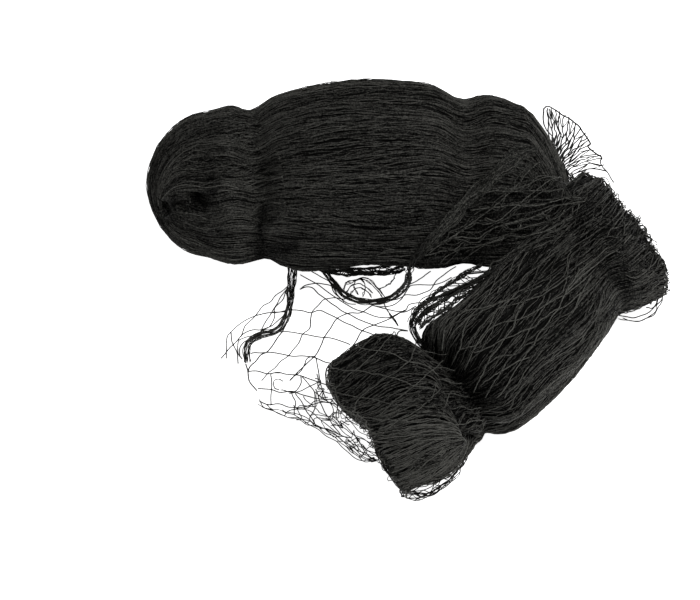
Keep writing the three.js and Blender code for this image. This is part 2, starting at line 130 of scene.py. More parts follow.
def bell(value: Array, width: float) -> Array:
    """Bell curve of height 1 and a given half width."""
    return np.exp(-((value / width) ** 2))


def wrap(angle: Array) -> Array:
    """Angles around a section, from a quarter turn under its right-hand side."""
    return np.mod(angle + 0.5 * math.pi, TAU) - 0.5 * math.pi


class Track:
    """Smooth curve through the rows of a short table."""

    def __init__(self, keys: Sequence[float], values: Rows) -> None:
        """Keeps the table."""
        self.keys = np.asarray(keys, float)
        self.values = np.asarray(values, float)

    def at(self, key: Array) -> Array:
        """Values on the curve.

        Args:
            key: Places along the curve, of any shape.

        Returns:
            The columns at each place, in a last axis.
        """
        keys, rows = self.keys, self.values
        last = len(keys) - 1
        key = np.clip(np.asarray(key, float), keys[0], keys[-1])
        k = np.clip(np.searchsorted(keys, key, side="left") - 1, 0, last - 1)
        before, after = np.maximum(k - 1, 0), np.minimum(k + 2, last)
        span = (keys[k + 1] - keys[k])[..., None]
        leave = (rows[k + 1] - rows[before]) / (keys[k + 1] - keys[before])[..., None] * span
        arrive = (rows[after] - rows[k]) / (keys[after] - keys[k])[..., None] * span
        t = (key[..., None] - keys[k][..., None]) / span
        u = 1.0 - t
        held = rows[k] * u * u * (1.0 + 2.0 * t) + rows[k + 1] * t * t * (1.0 + 2.0 * u)
        return held + leave * t * u * u - arrive * t * t * u


def route(points: Rows, count: int) -> Array:
    """Smooth line through a few places.

    Args:
        points: The places it goes through.
        count: How many points the line gets.

    Returns:
        The line's points, evenly spaced.
    """
    places = np.asarray(points, float)
    steps = np.linalg.norm(np.diff(places, axis=0), axis=1)
    keys = np.concatenate([[0.0], np.cumsum(steps)])
    return Track(keys, places).at(np.linspace(0.0, keys[-1], count))


def even_route(points: Rows, step: float) -> Array:
    """Smooth line through a few places with a point at about every step."""
    steps = np.linalg.norm(np.diff(np.asarray(points, float), axis=0), axis=1)
    return route(points, max(6, int(steps.sum() / step)))


def raised(flat: Array, heights: Array | float) -> Array:
    """Places on the floor raised to heights."""
    return np.concatenate([flat, np.broadcast_to(heights, flat.shape[:-1])[..., None]], axis=-1)


def clear_floor(points: Array, lowest: float = FLOOR_CLEAR) -> Array:
    """Points, with those too near the floor raised off it."""
    return raised(points[..., :2], np.maximum(points[..., 2], lowest))


def over_rims(rest: Array) -> Array:
    """Heights under lines, where those off the hanks get the line's lowest height on them."""
    lowest = np.where(rest > 0.0, rest, np.inf).min(axis=-1, keepdims=True)
    return np.where(rest > 0.0, rest, np.where(np.isfinite(lowest), lowest, 0.0))


def rest_on(rest: Array, passes: int) -> Array:
    """Heights of a line over what lies under it: it rests on the tops and at its ends, and spans hollows.

    Args:
        rest: Height of what lies under each point, along the last axis.
        passes: How far the slack between the tops is taken up.

    Returns:
        The line's heights.
    """
    heights = rest
    for _ in range(passes):
        taut = np.maximum(rest[..., 1:-1], (heights[..., :-2] + heights[..., 2:]) / 2.0)
        heights = np.concatenate([rest[..., :1], taut, rest[..., -1:]], axis=-1)
    return heights


class Drift:
    """Slow seeded drift over two coordinates, the same for strands that lie beside each other."""

    def __init__(self, rng: Rng, terms: int, along: float, across: float) -> None:
        """Draws the waves of the drift.

        Args:
            rng: Source of the seeded numbers.
            terms: How many waves are added.
            along: Most waves along the first coordinate, which is 0 to 1 and may close on itself.
            across: Most radians for each unit of the second coordinate.
        """
        self.along = np.round(rng.uniform(1.0, along, terms))
        self.across = rng.uniform(-across, across, terms)
        self.phase = rng.uniform(0.0, TAU, terms)
        self.size = rng.uniform(0.5, 1.0, terms) / math.sqrt(terms)

    def at(self, along: Array, across: Array) -> Array:
        """Drift at places, about -1 to 1.

        Args:
            along: First coordinate of the places.
            across: Second coordinate.

        Returns:
            The drift at each place.
        """
        along, across = np.broadcast_arrays(along, across)
        total = np.zeros(along.shape)
        for waves, tilt, phase, size in zip(self.along, self.across, self.phase, self.size):
            total += size * np.sin(TAU * waves * along + tilt * across + phase)
        return total


def waver(rng: Rng, count: int, columns: int, terms: int, waves: float) -> Array:
    """Seeded drift of a line's points."""
    t = np.linspace(0.0, 1.0, count)
    return np.stack([Drift(rng, terms, waves, 1.0).at(t, np.array(0.0)) for _ in range(columns)], axis=1)


def bunched(t: Array, angle: Array, pitch: float, clumps: Drift) -> Array:
    """How far strands of a hank draw together into clumps."""
    return 0.5 * pitch / TAU * np.sin(TAU * angle / pitch + 3.0 * clumps.at(t, angle))


@dataclass(frozen=True)
class Wave:
    """Even sway along a strand."""

    size: float
    waves: float  # along the whole strand

    def at(self, t: Array, phase: Array) -> Array:
        """Sway at places from 0 to 1 along strands that have phases of their own."""
        return self.size * np.sin(TAU * self.waves * t + phase)


class Shading:
    """A new material with its nodes and the links between them."""

    def __init__(self, name: str, specular: float) -> None:
        """Starts with the plain shader.

        Args:
            name: Name of the material.
            specular: Strength of its shine.
        """
        self.material = bpy.data.materials.new(name)
        self.material.use_nodes = True
        self.tree = self.material.node_tree
        self.shader = self.tree.nodes["Principled BSDF"]
        self.shader.inputs["Specular IOR Level"].default_value = specular

    def add(self, kind: str, **values: float) -> bpy.types.Node:
        """Adds a node.

        Args:
            kind: Kind of node, without its prefix.
            values: Values of its inputs, with underscores in their names for spaces.

        Returns:
            The new node.
        """
        node = self.tree.nodes.new(f"ShaderNode{kind}")
        for name, value in values.items():
            node.inputs[name.replace("_", " ")].default_value = value
        return node

    def join(self, source: bpy.types.NodeSocket, *targets: bpy.types.NodeSocket) -> None:
        """Links one output to inputs."""
        for target in targets:
            self.tree.links.new(source, target)

    def relief(self, height: bpy.types.NodeSocket, strength: float, distance: float) -> None:
        """Raises the surface a little.

        Args:
            height: Output that gives the height.
            strength: Strength of the relief.
            distance: Its height in metres.
        """
        bump = self.add("Bump", Strength=strength, Distance=distance)
        self.join(height, bump.inputs["Height"])
        self.join(bump.outputs["Normal"], self.shader.inputs["Normal"])


@dataclass(frozen=True)
class TwineFinish:
    """Matt black polyethylene twine: twisted filaments with a faint warm cast, paler on some strands; its
    tone follows each point's shade, which also carries painted light and shade.
    """

    name: str
    dark: Triple
    light: Triple
    roughness: Pair = (0.4, 0.7)
    specular: float = 0.08
    filament: Pair = (2600.0, 2.0)  # scale and detail of the noise
    patch: Pair = (700.0, 3.0)
    patch_share: float = 2.0
    level: Pair = (1.0, 2.05)  # sums of patch and shade that are darkest and palest
    bump: Pair = (0.5, 0.0002)  # strength, and height in metres

    def material(self) -> bpy.types.Material:
        """Makes the material at its first use.

        Returns:
            The material.
        """
        made = bpy.data.materials.get(self.name)
        if made:
            return made
        nodes = Shading(self.name, self.specular)
        where = nodes.add("TexCoord")
        patch = nodes.add("TexNoise", Scale=self.patch[0], Detail=self.patch[1])
        filament = nodes.add("TexNoise", Scale=self.filament[0], Detail=self.filament[1])
        nodes.join(where.outputs["Object"], patch.inputs["Vector"], filament.inputs["Vector"])
        strand = nodes.add("Attribute")
        strand.attribute_name = "shade"
        total = nodes.add("Math")
        total.operation = "MULTIPLY_ADD"
        total.inputs[1].default_value = self.patch_share
        nodes.join(patch.outputs["Fac"], total.inputs[0])
        nodes.join(strand.outputs["Fac"], total.inputs[2])
        level = nodes.add("MapRange", From_Min=self.level[0], From_Max=self.level[1])
        nodes.join(total.outputs[0], level.inputs["Value"])
        tone = nodes.add("Mix")
        tone.data_type = "RGBA"
        tone.inputs[6].default_value = (*self.dark, 1.0)
        tone.inputs[7].default_value = (*self.light, 1.0)
        nodes.join(level.outputs["Result"], tone.inputs[0])
        nodes.join(tone.outputs[2], nodes.shader.inputs["Base Color"])
        rough = nodes.add("MapRange", To_Min=self.roughness[0], To_Max=self.roughness[1])
        nodes.join(filament.outputs["Fac"], rough.inputs["Value"])
        nodes.join(rough.outputs["Result"], nodes.shader.inputs["Roughness"])
        nodes.relief(filament.outputs["Fac"], *self.bump)
        return nodes.material


@dataclass(frozen=True)
class PackedFinish:
    """Close-packed twine deep in a hank: nearly black, darker than the twine on top as painted shade in the
    gaps between strands, and ridged along the winding.
    """

    name: str
    dark: Triple
    light: Triple
    roughness: float = 0.75
    specular: float = 0.04
    strand_wide: float = 1.3
    strand_long: float = 14.0
    noise: Triple = (1.0, 4.0, 0.65)  # scale, detail and roughness
    ramp: Pair = (0.42, 0.72)  # where the noise is darkest and palest
    bump: Pair = (0.8, 0.001)  # strength, and height in metres

    def material(self) -> bpy.types.Material:
        """Makes the material at its first use.

        Returns:
            The material.
        """
        made = bpy.data.materials.get(self.name)
        if made:
            return made
        nodes = Shading(self.name, self.specular)
        nodes.shader.inputs["Roughness"].default_value = self.roughness
        flow = nodes.add("UVMap")
        flow.uv_map = "flow"
        stretch = nodes.add("Mapping")
        stretch.inputs["Scale"].default_value = (1.0 / self.strand_long, 1.0 / self.strand_wide, 1.0)
        nodes.join(flow.outputs["UV"], stretch.inputs["Vector"])
        scale, detail, roughness = self.noise
        strand = nodes.add("TexNoise", Scale=scale, Detail=detail, Roughness=roughness)
        nodes.join(stretch.outputs["Vector"], strand.inputs["Vector"])
        tone = nodes.add("ValToRGB")
        for stop, at, colour in zip(tone.color_ramp.elements, self.ramp, (self.dark, self.light)):
            stop.position, stop.color = at, (*colour, 1.0)
        nodes.join(strand.outputs["Fac"], tone.inputs["Fac"])
        nodes.join(tone.outputs["Color"], nodes.shader.inputs["Base Color"])
        nodes.relief(strand.outputs["Fac"], *self.bump)
        return nodes.material


# CORE_BLACK is darker than the strands' finishes: painted shade between the strands.
CORE_BLACK = PackedFinish("packed_black", (0.0006, 0.0006, 0.0005), (0.01, 0.01, 0.009))
HANK_BLACK = TwineFinish("hank_black", (0.001, 0.001, 0.0009), (0.1, 0.099, 0.09))
# PROUD_BLACK is HANK_BLACK with a paler darkest tone: painted light on twine that lies on top.
PROUD_BLACK = TwineFinish("proud_black", (0.004, 0.004, 0.0036), (0.1, 0.1, 0.09))
OPEN_BLACK = TwineFinish("open_black", (0.002, 0.002, 0.0018), (0.045, 0.045, 0.041))
TIE_BLACK = TwineFinish("tie_black", (0.0015, 0.0015, 0.0014), (0.012, 0.012, 0.011))


def make_piece(
    name: str, points: Array, faces: Sequence[Array], material: bpy.types.Material, slot: Slot
) -> Piece:
    """Makes one mesh piece that rides on the netting.

    Args:
        name: Name of the piece.
        points: Its vertices, in layout millimetres.
        faces: Arrays of faces, each with one number of corners.
        material: Its finish.
        slot: Not used.

    Returns:
        The new object.
    """
    mesh = bpy.data.meshes.new(name)
    mesh.vertices.add(len(points))
    mesh.vertices.foreach_set("co", ((points - MIDDLE) * MM).astype(np.float32).ravel())
    corners = np.concatenate([part.ravel() for part in faces]).astype(np.int32)
    sizes = np.concatenate([np.full(len(part), part.shape[1]) for part in faces])
    starts = np.concatenate([[0], np.cumsum(sizes)[:-1]]).astype(np.int32)
    mesh.loops.add(len(corners))
    mesh.loops.foreach_set("vertex_index", corners)
    mesh.polygons.add(len(sizes))
    mesh.polygons.foreach_set("loop_start", starts)
    mesh.update(calc_edges=True)
    mesh.polygons.foreach_set("use_smooth", np.ones(len(sizes), bool))
    mesh.materials.append(material)
    piece = bpy.data.objects.new(name, mesh)
    bpy.context.scene.collection.objects.link(piece)
    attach(piece, BODY)
    LOG.info("%s: %d faces", name, len(sizes))
    return piece


class Twine:
    """Collects lines of twine and makes one piece of round closed strands from them."""

    slant: Array = np.array([0.13, 0.21, 1.0])  # a direction that no line starts in

    def __init__(self, sides: int = 3) -> None:
        """Starts with no lines.

        Args:
            sides: Sides of a strand's section.
        """
        self.sides = sides
        self.points: list[Array] = []
        self.shades: list[Array] = []
        self.quads: list[Array] = []
        self.caps: list[Array] = []
        self.count = 0

    def add(self, lines: Array, radius: Array | float, shade: Array | float, run: Run = Run.OPEN) -> None:
        """Adds lines that have the same number of points.

        Args:
            lines: Middle lines, one to a row, or a single line.
            radius: Half thickness, for all, for each line or for each point.
            shade: From 0, darkest, to 1, palest, for all, for each line or for each point.
            run: Whether each line closes on itself.
        """
        lines = lines if lines.ndim == 3 else lines[None]
        count, length, _ = lines.shape
        ring = run is Run.RING
        ahead, behind = np.roll(lines, -1, axis=1), np.roll(lines, 1, axis=1)
        if not ring:
            ahead[:, -1], behind[:, 0] = lines[:, -1], lines[:, 0]
        along = ahead - behind
        along /= np.maximum(np.linalg.norm(along, axis=2, keepdims=True), TINY)
        side = np.empty_like(lines)
        aside = np.cross(along[:, 0], self.slant)
        for k in range(length):
            aside = aside - along[:, k] * np.sum(aside * along[:, k], axis=1, keepdims=True)
            aside /= np.maximum(np.linalg.norm(aside, axis=1, keepdims=True), TINY)
            side[:, k] = aside
        up = np.cross(along, side)
        thick = self.spread_out(radius, count, length)[..., None, None]
        turn = (TAU * np.arange(self.sides) / self.sides)[None, None, :, None]
        skin = lines[:, :, None] + thick * (np.cos(turn) * side[:, :, None] + np.sin(turn) * up[:, :, None])
        index = self.count + np.arange(count * length * self.sides).reshape(count, length, self.sides)
        this_ring = index if ring else index[:, :-1]
        next_ring = np.roll(index, -1, axis=1) if ring else index[:, 1:]
        around = [np.roll(part, -1, axis=2) for part in (this_ring, next_ring)]
        self.quads.append(np.stack([this_ring, around[0], around[1], next_ring], axis=-1).reshape(-1, 4))
        if not ring:
            self.caps.append(index[:, 0, ::-1])
            self.caps.append(index[:, -1])
        self.points.append(skin.reshape(-1, 3))
        self.shades.append(np.repeat(self.spread_out(shade, count, length).ravel(), self.sides))
        self.count += count * length * self.sides

    @staticmethod
    def spread_out(value: Array | float, count: int, length: int) -> Array:
        """A value for all, for each line or for each point, as a value for each point.

        Args:
            value: The value or values.
            count: Number of lines.
            length: Number of points in each.

        Returns:
            A row for each line.
        """
        table = np.asarray(value, float)
        table = table[:, None] if table.ndim == 1 else table
        return np.broadcast_to(table, (count, length))

    def knots(self, places: Array, radius: float, shade: float) -> None:
        """Adds a small knot at each place.

        Args:
            places: Middles of the knots.
            radius: Half the size of a knot.
            shade: From 0, darkest, to 1, palest.
        """
        corners = radius * np.array(
            [[1, 0, 0], [-1, 0, 0], [0, 1, 0], [0, -1, 0], [0, 0, 1], [0, 0, -1]], float
        )
        sides = np.array(
            [[0, 2, 4], [2, 1, 4], [1, 3, 4], [3, 0, 4], [2, 0, 5], [1, 2, 5], [3, 1, 5], [0, 3, 5]]
        )
        places = places.reshape(-1, 3)
        first = self.count + 6 * np.arange(len(places))
        self.points.append((places[:, None] + corners).reshape(-1, 3))
        self.shades.append(np.full(6 * len(places), shade))
        self.caps.append((first[:, None, None] + sides).reshape(-1, 3))
        self.count += 6 * len(places)

    def build(self, name: str, finish: TwineFinish, slot: Slot) -> Piece:
        """Makes the piece.

        Args:
            name: Name of the piece.
            finish: Finish of its twine.
            slot: Slot of the record that the finish stands for.

        Returns:
            The new object.
        """
        faces = [np.concatenate(self.quads)]
        for corners in (3, 4):
            caps = [part for part in self.caps if part.shape[1] == corners]
            if caps:
                faces.append(np.concatenate(caps))
        piece = make_piece(name, np.concatenate(self.points), faces, finish.material(), slot)
        shade = piece.data.attributes.new("shade", "FLOAT", "POINT")
        shade.data.foreach_set("value", np.concatenate(self.shades).astype(np.float32))
        return piece


def core_piece(name: str, points: Array, rows: int, columns: int, flow: Pair, grain: Grain) -> Piece:
    """Closed skin over rows of points, the last of which joins the first.

    Args:
        name: Name of the piece.
        points: Points row by row.
        rows: Number of rows.
        columns: Number of points in a row.
        flow: Length over the rows and over the columns, in millimetres, for the finish.
        grain: Whether the strands run from row to row or from column to column.

    Returns:
        The new object.
    """
    index = np.arange(rows * columns).reshape(rows, columns)
    after = np.roll(index, -1, axis=0)
    faces = np.stack([index[:, :-1], index[:, 1:], after[:, 1:], after[:, :-1]], axis=-1).reshape(-1, 4)
    piece = make_piece(name, points, [faces], CORE_BLACK.material(), Slot.HANK)
    run, over = np.meshgrid(np.arange(rows), np.arange(columns - 1), indexing="ij")
    corner_run = np.stack([run, run, run + 1, run + 1], axis=-1) / rows * flow[0]
    corner_over = np.stack([over, over + 1, over + 1, over], axis=-1) / (columns - 1) * flow[1]
    corner = np.stack([corner_run, corner_over], axis=-1)
    corner = corner if grain is Grain.ROWS else corner[..., ::-1]
    layer = piece.data.uv_layers.new(name="flow")
    layer.data.foreach_set("uv", corner.astype(np.float32).ravel())
    shell = bmesh.new()
    shell.from_mesh(piece.data)
    bmesh.ops.remove_doubles(shell, verts=shell.verts, dist=MERGE)
    bmesh.ops.dissolve_degenerate(shell, edges=shell.edges, dist=MERGE)
    bmesh.ops.recalc_face_normals(shell, faces=shell.faces)
    shell.to_mesh(piece.data)
    shell.free()
    return piece


@dataclass(frozen=True)
class Furrows:
    """Creases between the twisted bundles of a hank."""

    depth: float = 4.2
    crest: float = 0.62  # share of the depth by which the bundles stand out
    fine: float = 0.3  # share of the finer creases
    clear: float = 6.0  # height over the floor under which the skin is smooth
    fade: float = 19.0  # height above that over which the creases deepen

    def at(self, height: Array, main: Array, fine: Array) -> Array:
        """How far the skin stands out."""
        ripple = 2.0 * np.abs(np.cos(main / 2.0)) - 1.0 + self.fine * np.cos(fine)
        return self.depth * self.crest * ripple * ease(height - self.clear, self.fade)


@dataclass(frozen=True)
class Dent:
    """Hollow in a hank's skin, such as the eye that a skein is wound around."""

    place: Triple
    depth: float
    radius: float

    def press(self, points: Array, middle: Array) -> Array:
        """Moves points near the hollow towards the middle of the hank.

        Args:
            points: Points of the skin.
            middle: Point of the hank's axis under the hollow.

        Returns:
            The moved points.
        """
        inward = middle - np.array(self.place)
        inward = inward / np.linalg.norm(inward)
        away = np.linalg.norm(points - np.array(self.place), axis=-1)
        return points + (self.depth * bell(away, self.radius))[..., None] * inward


@dataclass(frozen=True)
class Shadow:
    """Stretch of a hank that little light reaches."""

    start: Pair
    end: Pair
    spread: float
    strength: float = 0.9

    def light(self, points: Array) -> Array:
        """Share of the light that is left at places.

        Args:
            points: The places.

        Returns:
            The share at each place.
        """
        start, run = np.array(self.start), np.array(self.end) - np.array(self.start)
        t = np.clip((points[..., :2] - start) @ run / (run @ run), 0.0, 1.0)
        away = np.linalg.norm(points[..., :2] - start - t[..., None] * run, axis=-1)
        return 1.0 - self.strength * bell(away, self.spread)


SWATH_SHADOW = Shadow((42.0, 16.0), (128.0, 50.0), 23.0)  # on both hanks, under the swath


def shaded(shade: Array, points: Array, shadows: Sequence[Shadow]) -> Array:
    """Tones at points, dimmed by shadows."""
    return shade * math.prod(shadow.light(points) for shadow in shadows)


@dataclass
class UpperHank:
    """The skein wound around two eyes, drawn in at a neck beside each of them."""

    # along, across, half width, top, lowest point
    sections: Rows = (
        (-165, 86, 64, 92, -3),
        (-141, 83, 71, 98, -4),
        (-121, 87, 69, 83, 4),
        (-101, 87, 77, 100, -1),
        (-76, 85, 83, 112, -4),
        (-38, 85, 86.5, 118, -5),
        (0, 86, 86, 118, -5),
        (28, 87, 83, 113, -4),
        (53, 88, 76, 94, 3),
        (76, 88, 78, 102, -3),
        (102, 85, 72, 98, -3),
    )
    seam: float = math.radians(125.0)
    left: Pair = (46.0, 1.8)  # reach and power of the round end
    right: Pair = (37.0, 1.35)
    main_furrows: int = 8
    fine_furrows: int = 13
    seam_width: float = 0.45
    sway: float = 0.8
    sway_length: float = 47.0
    neck_slant: float = -0.09
    neck_along: float = -121.0
    neck_spread: float = 22.0
    dents: tuple[Dent, ...] = (
        Dent((-166, 47, 83), 18.0, 8.0),
        Dent((-180, 43, 76), 11.0, 6.0),
        Dent((-192, 46, 68), 11.0, 7.0),
        Dent((-106, 20, 26), 8.0, 12.0),
        Dent((100, 44, 89), 8.0, 12.0),
    )
    shadows: tuple[Shadow, ...] = (
        Shadow((-195, 47), (-189, 47), 8.0),
        Shadow((-173, 48), (-160, 47), 7.0),
        Shadow((-112, 42), (-118, 16), 4.0),
        Shadow((-112, 17), (-88, 11), 5.0),
        Shadow((-30, 16), (10, 22), 5.0, 0.6),
    )
    slits: Triple = (-28.0, 40.0, 12.5)  # along, spread and depth low on the front
    slit_fall: Pair = (1.4, 0.5)  # place around the hank and spread
    eye: tuple[float, float, float, float] = (-163.0, 47.0, 22.0, 31.0)  # place, shift to the left, spread
    eye_rise: float = 46.0  # height over the axis at which the windings shift in full
    eye_swell: float = 4.0
    leg_share: float = 0.33  # share of a turn of twine that lies on one straight run
    core_grid: tuple[int, int] = (240, 64)
    core_flow: Pair = (700.0, 230.0)
    strands: int = 430
    strand_points: int = 150
    strand_radius: float = 0.37
    crowd: float = 1.25  # crowds the strands towards the upper seam
    sways: tuple[Wave, ...] = (Wave(0.026, 3.0), Wave(0.016, 8.0), Wave(0.008, 19.0))
    loose: Triple = (0.07, 0.915, 0.09)  # stray in the left eye, its place and spread
    drift: float = 0.035
    pitch: float = 0.085
    depths: Pair = (-2.6, 0.0)
    crimp: Triple = (0.0035, 0.3, 0.14)  # around the hank, in depth and in tone
    tone: Triple = (0.27, 0.14, 0.1)  # usual tone, painted shade that darkens deeper strands, and change between strands
    neck_painted_light: Triple = (15.0, 16.0, 0.12)  # distance past the neck, spread and strength of a band of painted light
    furrows: Furrows = Furrows()

    def __post_init__(self) -> None:
        """Sets up the smooth table of sections."""
        rows = np.asarray(self.sections, float)
        self.track = Track(rows[:, 0], rows[:, 1:])
        self.first, self.last = rows[0, 0], rows[-1, 0]

    def section(self, along: Array) -> tuple[Array, Array, Array, Array]:
        """Section across the hank.

        Args:
            along: Places along the hank.

        Returns:
            Its middle across, half width, half height and middle height.
        """
        across, half, high, lift = np.moveaxis(self.track.at(along), -1, 0)
        rise = (high - lift) / 2.0
        return across, half, rise, lift + rise

    def turn(self, share: Array) -> tuple[Array, Array, Array]:
        """Places on a turn of twine around the two eyes.

        Args:
            share: From 0 to 1 around the turn.

        Returns:
            Place along the hank, side from 1 at the back to -1 at the front, and reach past the eye.
        """
        leg = self.leg_share
        share = np.mod(share, 1.0)
        back_leg = np.clip(share / leg, 0.0, 1.0)
        front_leg = np.clip((share - 0.5) / leg, 0.0, 1.0)
        right = np.clip((share - leg) / (0.5 - leg), 0.0, 1.0) * math.pi
        left = np.clip((share - 0.5 - leg) / (0.5 - leg), 0.0, 1.0) * math.pi
        rear = share < 0.5
        span = self.last - self.first
        along = np.where(rear, self.first + span * back_leg, self.last - span * front_leg)
        angle = np.where(rear, right, left)
        reach = np.where(rear, self.right[0], -self.left[0])
        power = np.where(rear, 2.0 / self.right[1], 2.0 / self.left[1])
        side = np.where(rear, 1.0, -1.0) * signed_power(np.cos(angle), power)
        return along, side, reach * np.abs(np.sin(angle)) ** power

    def place(self, share: Array, fall: Array, swell: Array) -> Array:
        """Points of the hank's skin.

        Args:
            share: From 0 to 1 around a turn of twine.
            fall: From 0 at the upper seam, around the outside, to pi at the lower.
            swell: How far outside the skin.

        Returns:
            The points.
        """
        along, back, out = self.turn(share)
        along, back, out, fall, swell = np.broadcast_arrays(along, back, out, fall, swell)
        across, half, rise, middle = self.section(along)
        inward, outward = np.cos(fall), np.sin(fall)
        lean, stand = math.cos(self.seam), math.sin(self.seam)
        offset = np.stack(
            [
                outward * out,
                half * (inward * lean + outward * back * stand),
                rise * (inward * stand - outward * back * lean),
            ],
            axis=-1,
        )
        wander = self.sway * np.sin(along / self.sway_length) + back
        furrow = self.furrows.at(
            middle + offset[..., 2],
            self.main_furrows * fall + wander,
            self.fine_furrows * fall - 2.0 * wander,
        )
        furrow = furrow * ease(np.abs(outward), self.seam_width)
        at, spread, depth = self.slits
        slit = depth * bell(along - at, spread) * bell(fall - self.slit_fall[0], self.slit_fall[1])
        slit = slit * ease(-back, 1.0)
        length = np.linalg.norm(offset, axis=-1)
        point = np.stack([along, across, middle], axis=-1)
        point = point + offset * (1.0 + (furrow + swell - slit) / np.maximum(length, 1.0))[..., None]
        point = self.draw_eye(point, middle)
        for dent in self.dents:
            dent_across, _, _, dent_middle = self.section(np.array(dent.place[0]))
            point = dent.press(point, np.array([dent.place[0], dent_across, dent_middle]))
        neck = bell(along - self.neck_along, self.neck_spread)
        point[..., 0] += self.neck_slant * (point[..., 1] - across) * neck
        point[..., 2] = np.maximum(point[..., 2], 0.0)
        return point

    def draw_eye(self, points: Array, middle: Array) -> Array:
        """Draws the upper windings around the left eye out towards the round end.

        Args:
            points: Points of the skin.
            middle: Height of the hank's axis at each of them.

        Returns:
            The points moved along the skin.
        """
        at, across, shift, spread = self.eye
        away = np.hypot(points[..., 0] - at, points[..., 1] - across)
        upper = ease(points[..., 2] - middle, self.eye_rise)
        x = points[..., 0] - shift * bell(away, spread) * upper
        before = self.top(points[..., 0], points[..., 1], self.eye_swell)
        after = self.top(x, points[..., 1], self.eye_swell)
        drop = np.where((before > 0.0) & (after > 0.0), after - before, 0.0)
        return np.stack([x, points[..., 1], points[..., 2] + drop], axis=-1)

    def top(self, x: Array, y: Array, swell: float) -> Array:
        """Height of the hank's top.

        Args:
            x: Places on the floor.
            y: Places on the floor.
            swell: How far outside the skin.

        Returns:
            The height over each place, or 0 outside the hank's outline.
        """
        along = np.clip(x, self.first, self.last)
        across, half, rise, middle = self.section(along)
        reach = np.where(x < self.first, self.left[0], self.right[0]) + swell
        away = np.hypot((x - along) / reach, (y - across) / (half + swell))
        return np.where(away < 1.0, middle + (rise + swell) * np.sqrt(np.maximum(1.0 - away**2, 0.0)), 0.0)

    def settle(self, points: Array) -> Array:
        """Leaves points as they are, because this hank's ends stand upright."""
        return points

    def push_out(self, points: Array, gap: float) -> Array:
        """Moves points that lie in the hank out to its skin.

        Args:
            points: Points in or near the hank.
            gap: How far outside the skin they end.

        Returns:
            The moved points.
        """
        along = np.clip(points[..., 0], self.first, self.last)
        across, half, rise, middle = self.section(along)
        reach = np.where(points[..., 0] < self.first, self.left[0], self.right[0])
        middles = np.stack([along, across, middle], axis=-1)
        sizes = np.stack([reach, half, rise], axis=-1) + gap
        away = np.linalg.norm((points - middles) / sizes, axis=-1)
        push = np.where(away < 1.0, 1.0 / np.maximum(away, 0.3), 1.0)
        return middles + (points - middles) * push[..., None]

    def build_core(self) -> None:
        """Makes the close-packed inside of the hank, which stands for its solid."""
        stations, falls = self.core_grid
        share = np.linspace(0.0, 1.0, stations, endpoint=False)[:, None]
        fall = np.linspace(0.0, math.pi, falls + 1)[None, :]
        points = self.place(share, fall, np.array(CORE_DEPTH)).reshape(-1, 3)
        core = core_piece("hank_upper_core", points, stations, falls + 1, self.core_flow, Grain.ROWS)
        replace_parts(core, "hank_upper")

    def build_strands(self) -> None:
        """Winds the visible strands around the eyes."""
        rng, count = Seed.UPPER_STRANDS.rng(), self.strands
        share = np.linspace(0.0, 1.0, self.strand_points, endpoint=False)[None, :]
        spot = (np.arange(count) + rng.uniform(0.0, 1.0, count)) / count
        fall = rng.permutation(math.pi * spot**self.crowd)[:, None]
        shared, clumps = Drift(rng, 9, 6.0, 12.0), Drift(rng, 8, 8.0, 9.0)
        own = rng.uniform(0.0, TAU, (3, count, 1))
        sway = sum(wave.at(share, phase) for wave, phase in zip(self.sways, own))
        sway = sway + self.loose[0] * np.sin(own[2]) * bell(share - self.loose[1], self.loose[2])
        crimp = rng.normal(0.0, 1.0, (3, count, self.strand_points))
        bunch = bunched(share, fall, self.pitch, clumps)
        path = fall + self.drift * shared.at(share, fall) + bunch + sway + self.crimp[0] * crimp[0]
        depth = rng.uniform(*self.depths, (count, 1))
        lines = clear_floor(self.place(share, path, depth + self.crimp[1] * crimp[1]))
        # Deeper strands get painted shade.
        usual, painted_depth_shade, by_strand = self.tone
        shade = usual + painted_depth_shade * (depth - np.mean(self.depths))
        shade = shade + by_strand * rng.normal(0.0, 1.0, (count, 1)) + self.crimp[2] * crimp[2]
        # Painted light on the flank just past the left neck.
        past, spread, painted_lighting = self.neck_painted_light
        shade = shade + painted_lighting * bell(lines[..., 0] - self.neck_along - past, spread)
        shade = shaded(np.clip(shade, 0.0, PALEST), lines, (*self.shadows, SWATH_SHADOW))
        for part in range(3):
            twine = Twine()
            rows = slice(part * count // 3, (part + 1) * count // 3)
            twine.add(lines[rows], self.strand_radius, shade[rows], Run.RING)
            twine.build(f"hank_upper_strands_{'abc'[part]}", HANK_BLACK, Slot.HANK)


